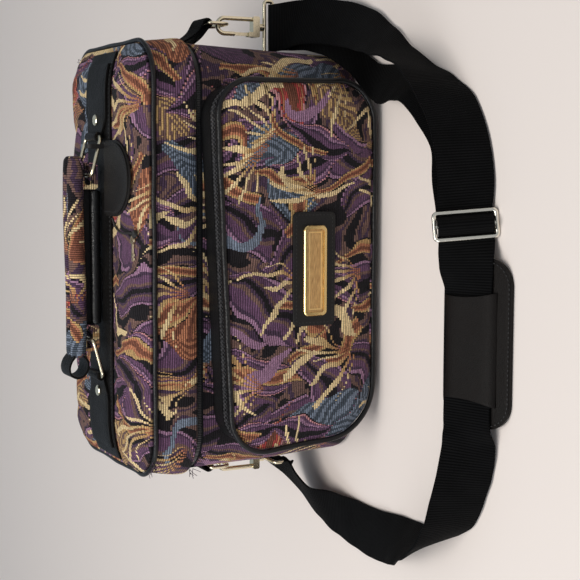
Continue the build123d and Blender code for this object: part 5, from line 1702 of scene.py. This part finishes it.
def webbing_material(name, pitch):
    """Black nylon webbing: ribs across its width, fine yarns along them with painted shade in the grooves
    between them, and a bound edge.
    """
    material, tree, shader = start_material(
        name, Roughness=0.72, Specular_IOR_Level=0.04, Sheen_Weight=0.01, Sheen_Roughness=0.4)
    cloth_map = add_node(tree, "ShaderNodeUVMap", uv_map="cloth")
    millimetres = combine(tree, "SCALE", cloth_map.outputs[0], 1000.0)
    parts = add_node(tree, "ShaderNodeSeparateXYZ", {0: millimetres})
    rib_count = calculate(tree, "DIVIDE", parts.outputs[0], pitch)
    odd = calculate(tree, "FLOORED_MODULO", calculate(tree, "FLOOR", rib_count), 2.0)
    row = calculate(tree, "MULTIPLY", odd, 0.5)
    yarn_count = calculate(tree, "ADD", calculate(tree, "DIVIDE", parts.outputs[1], 0.9), row)
    rib_round = calculate(tree, "POWER", full_wave(tree, rib_count), 0.6)
    yarn_round = calculate(tree, "POWER", full_wave(tree, yarn_count), 0.6)
    edge = calculate(tree, "ABSOLUTE", parts.outputs[1])
    lint = noise(tree, millimetres, 0.05, 5.0)
    height = calculate(tree, "MULTIPLY", rib_round, calculate(tree, "MULTIPLY_ADD", yarn_round, 0.45, 0.55))
    # Colour follows the ribs' height: painted shade, darker in the grooves between ribs and yarns, times
    # random lint tone.
    rib_shade_and_lint = calculate(tree, "MULTIPLY", height, calculate(tree, "MULTIPLY_ADD", lint, 1.0, 0.5))
    base = colour_steps(tree, rib_shade_and_lint, [(0.10, (0.0008, 0.0008, 0.0009)), (1.0, (0.0070, 0.0070, 0.0074))])
    bound = calculate(tree, "MULTIPLY", calculate(tree, "GREATER_THAN", edge, 18.0), 0.5)
    feed(tree, shader.inputs, Base_Color=mix_colours(tree, bound, base, (0.0025, 0.0025, 0.003)))
    add_bump(tree, shader, height, 0.0007)
    return material


webbing_cloth = webbing_material("black webbing", 1.9)


def side_tab(side, ring_x, label):
    """Webbing tab from the seam under the lid, round the dee ring and back to the wall."""
    wall = 0.165
    stand = ring_x - wall
    route = [
        (wall + 0.0012, 0.1325), (wall + 0.0022, 0.1260), (wall + 0.0034 + 0.10 * stand, 0.1190),
        (wall + 0.55 * stand + 0.002, 0.1085), (ring_x + 0.0034, 0.1015), (ring_x + 0.0024, 0.0980),
        (ring_x - 0.0002, 0.0966), (ring_x - 0.0026, 0.0980), (ring_x - 0.0040, 0.1000),
        (wall + 0.42 * stand, 0.1065), (wall + 0.0016, 0.1150)]
    stations = [((side * x, side_y, z), (0, 1, 0)) for x, z in route]
    tab = ribbon_piece(f"side_tab_cloth_{label}", smooth_line(stations, 0.002), 0.0245, 0.0014, columns=6)
    dress(tab, webbing_cloth, "trunk", "webbing", f"side_tab_{label}")


side_tab(-1, 0.175, "left")
side_tab(1, 0.185, "right")

# Shoulder strap: one length of black nylon webbing that leaves the left eye, lies on the table on
# its lower edge, goes through the pad and the slide and comes back round the right eye.
webbing_width = 0.038
webbing_thickness = 0.0015
eye_left = Vector((-0.175, -0.005, 0.037))
eye_right = Vector((0.185, -0.005, 0.037))
fold_reach = 0.00265
left_stations = [
    ((-182.5, -7.5), 19.5, (0.50, -0.80, 0.33)),
    ((-197.0, -19.5), 8.0, (0.58, -0.66, 0.48)),
    ((-209.0, -37.0), 3.5, (0.78, -0.34, 0.48)),
    ((-214.0, -62.0), 2.2, (0.95, -0.22, 0.18)),
    ((-216.5, -92.0), 1.8, (0.99, -0.12, -0.04)),
    ((-216.0, -124.0), 1.4, (0.98, -0.06, -0.18)),
    ((-212.5, -152.0), 0.9, (0.93, 0.02, -0.36)),
    ((-208.0, -180.0), 0.7, (0.76, 0.10, -0.64)),
    ((-202.0, -207.0), 0.6, (0.42, 0.06, -0.90)),
    ((-193.5, -230.0), 0.6, (0.20, -0.16, -0.96)),
    ((-178.0, -246.0), 0.6, (0.10, -0.34, -0.93)),
    ((-158.0, -254.5), 0.6, (0.02, -0.46, -0.88)),
    ((-138.0, -260.0), 0.6, (-0.04, -0.62, -0.78)),
    ((-118.0, -261.0), 2.0, (-0.08, -0.80, -0.59)),
]
right_stations = [
    ((62.0, -258.5), 0.6, (0.08, -0.5, -0.86)),
    ((92.0, -251.0), 0.6, (0.04, -0.5, -0.86)),
    ((116.0, -237.0), 0.6, (0.15, -0.40, -0.90)),
    ((132.0, -219.0), 0.6, (0.10, -0.05, -0.98)),
    ((143.5, -198.0), 1.0, (0.02, 0.20, -0.96)),
    ((154.0, -173.0), 1.5, (0.22, 0.34, -0.90)),
    ((165.0, -146.0), 2.2, (0.55, 0.24, -0.79)),
    ((175.5, -115.0), 3.0, (0.80, 0.10, -0.58)),
    ((183.0, -82.0), 8.0, (0.9, 0.0, -0.43)),
    ((187.0, -48.0), 20.0, (0.95, 0.0, -0.3)),
    ((185.0, -20.0), 35.5, (1, 0, 0)),
]
return_stations = [
    ((185.0, -18.0), 31.35, (1, 0.02, -0.02)),
    ((181.0, -42.0), 17.0, (0.90, 0.36, -0.24)),
    ((170.0, -70.0), 10.0, (0.74, 0.56, -0.36)),
    ((155.0, -99.0), 6.0, (0.66, 0.62, -0.42)),
    ((136.0, -127.0), 1.5, (0.76, 0.48, -0.44)),
    ((132.5, -152.0), 0.8, (0.78, 0.20, -0.59)),
    ((132.5, -177.0), 0.8, (0.68, 0.14, -0.71)),
    ((127.5, -202.0), 0.8, (0.54, -0.16, -0.82)),
    ((112.0, -224.0), 0.8, (0.34, -0.50, -0.79)),
    ((86.0, -243.0), 0.8, (0.12, -0.74, -0.66)),
    ((62.0, -252.0), 0.8, (0.08, -0.5, -0.86)),
]
pad_origin = Vector((-0.0475, -0.260, 0.0152))
pad_down = Vector((0, -0.94, -0.34)).normalized()
pad_along = Vector((1, 0, 0))
pad_up = -pad_along.cross(pad_down)
slide_origin = Vector((0.033, -0.262, 0.0198))
slide_along = Vector((0.985, 0.17, 0.0)).normalized()
slide_lean = Vector((0.08, -0.5, -0.86))
slide_down = (slide_lean - slide_along * slide_lean.dot(slide_along)).normalized()
slide_out = -slide_along.cross(slide_down)
slide_bar = 0.0089
behind_bar = 0.00265
over_bar = 0.00475


def standing(station):
    """Middle point and width direction in metres of a station given in millimetres by its lower edge."""
    (x, y), above_table, across = station
    direction = Vector(across).normalized()
    height = (abs(direction.z) * webbing_width + webbing_thickness) * 1000
    middle = above_table + height / 2
    return Vector((x, y, middle)) / 1000, direction


def round_eye(eye, square, across, start, end, pieces=8):
    """Stations round a swivel eye's lower bar, by angles from straight up towards a direction."""
    stations = []
    for part in range(pieces + 1):
        turn = math.radians(start + (end - start) * part / pieces)
        spoke = Vector(square) * math.sin(turn) + Vector((0, 0, 1)) * math.cos(turn)
        stations.append((eye + spoke * fold_reach, Vector(across)))
    return stations


def at_slide(reach, rise):
    """Station on the slide, along the strap and out from the wire."""
    return slide_origin + slide_along * reach + slide_out * rise, slide_down


left_tail = [(eye_left + Vector((-0.0095, -0.0045, -0.0162)), Vector((0.45, -0.84, 0.30))),
             (eye_left + Vector((-0.0050, -0.0018, -0.0098)), Vector((0.22, -0.96, 0.15)))]
strap_stations = (
    left_tail
    + round_eye(eye_left, (1, 0, 0), (0, -1, 0), 180, 0)
    + [standing(station) for station in left_stations]
    + [(pad_origin + pad_along * reach, pad_down) for reach in (-0.0585, -0.030, 0.0, 0.033)]
    + [standing(((6.0, -262.0), 7.0, (0.03, -0.80, -0.60)))]
    + [at_slide(-slide_bar - 0.0015, -behind_bar), at_slide(-slide_bar + 0.0015, -behind_bar),
       at_slide(-0.002, over_bar), at_slide(0.002, over_bar),
       at_slide(slide_bar - 0.0015, -behind_bar), at_slide(slide_bar + 0.0015, -behind_bar)]
    + [standing(station) for station in right_stations]
    + round_eye(eye_right, (0, 1, 0), (1, 0, 0), 0, 180)
    + [standing(station) for station in return_stations]
    + [at_slide(slide_bar + 0.003, -behind_bar - 0.0018), at_slide(slide_bar - 0.002, -behind_bar - 0.0018),
       at_slide(0.0024, -0.0027), at_slide(0.0010, -0.0025)]
)
strap_cloth = ribbon_piece(
    "strap_cloth", smooth_line(strap_stations, 0.0030), webbing_width, webbing_thickness, columns=10,
    edge_wave=0.0003)
dress(strap_cloth, webbing_cloth, "trunk", "webbing", "shoulder_strap")

# Shoulder pad: a plate of brown-black satin leather behind the webbing, with a sleeve of the same
# leather sewn over it to hold the strap.
pad_leather = leather_material("pad leather", (0.0045, 0.0033, 0.0028), 0.6, 0.07, 0.30, 0.12)
pad_half = (0.058, 0.0275)
pad_corner = 0.019
pad_thickness = 0.0024
pad_back = 0.00105
pad_drop = 0.0065
pad_outline = corner_outline(box_corners((-pad_half[0], -pad_half[1]), pad_half, pad_corner))
pad_plate = plate_from("pad_plate", [pad_outline], pad_thickness)
cut_evenly(0, -pad_half[0], pad_half[0], 0.004)
cut_evenly(1, -pad_half[1], pad_half[1], 0.004)


def on_pad(reach, drop, lift):
    """Place on the pad, along it, down its face and out from its back."""
    return pad_origin + pad_along * reach + pad_down * drop + pad_up * lift


def bend_pad(co):
    """Lay the plate behind the webbing, its ends a little slack and its rim pressed by the seam."""
    edge = min(pad_half[0] - abs(co.x), pad_half[1] - abs(co.y))
    seam = 0.0003 * math.exp(-((edge - 0.0022) / 0.0009) ** 2) * (1 if co.z > 0 else 0)
    slack = 0.0010 * (co.x / pad_half[0]) ** 4
    lift = -pad_back - pad_thickness / 2 + co.z - seam - slack
    return on_pad(co.x, pad_drop - co.y, lift)


finish_block(pad_plate, move=bend_pad, round_off=0.0005)
dress(pad_plate, pad_leather, "trunk", "leather", "strap_pad")
rim_inset = 0.0022
rim_half_size = [half - rim_inset for half in pad_half]
rim = corner_outline(box_corners([-half for half in rim_half_size], rim_half_size, 0.017))
rim_line = [on_pad(x, pad_drop - y, -pad_back - 0.0001) for x, y in rim + rim[:1]]
sleeve_left, sleeve_right = -0.041, 0.034


def clear_of_sleeve(place):
    """Whether a place on the pad's rim isn't under the sleeve."""
    beside = sleeve_left - 0.001 < place.x - pad_origin.x < sleeve_right + 0.001
    return not (beside and (place - pad_origin).dot(pad_down) < 0.0)


stitch_row("pad_stitches", rim_line, 0.0032, pad_up, "trunk", clear_of_sleeve)

sleeve_half = 0.0213
sleeve_drop = 0.0015
sleeve_wall = 0.0014
pad_sleeve = start_block("pad_sleeve", (sleeve_left, -sleeve_half, 0.0), (sleeve_right, sleeve_half, 0.001))
drop_faces(pad_sleeve, lambda face: face.normal.z < 0.5)
cut_evenly(0, sleeve_left, sleeve_right, 0.003)
cut_evenly(1, -sleeve_half, sleeve_half, 0.0025)


def arch_sleeve(co):
    """Arch the sleeve over the webbing, sewn down along both edges, its ends cut in a shallow curve."""
    side = abs(co.y) / sleeve_half
    lift = -pad_back + 0.00015 + 0.0034 * (1 - side ** 7)
    lift += 0.0002 * ripple(co.x, co.y, 0.0, 60.0, 6.0) * (1 - side)
    middle = (sleeve_left + sleeve_right) / 2
    end = (co.x - middle) / (sleeve_right - sleeve_left) * 2
    slant = 0.0016 * co.y / sleeve_half * (1 if end < 0 else -1) * end ** 2
    reach = co.x - 0.0022 * end * (1 - side ** 2) + slant
    return on_pad(reach, sleeve_drop - co.y, lift + 0.0006 * end ** 4)


finish_block(pad_sleeve, move=arch_sleeve, thickness=sleeve_wall, round_off=0.0003)
dress(pad_sleeve, pad_leather, "trunk", "leather", "strap_pad_sleeve")
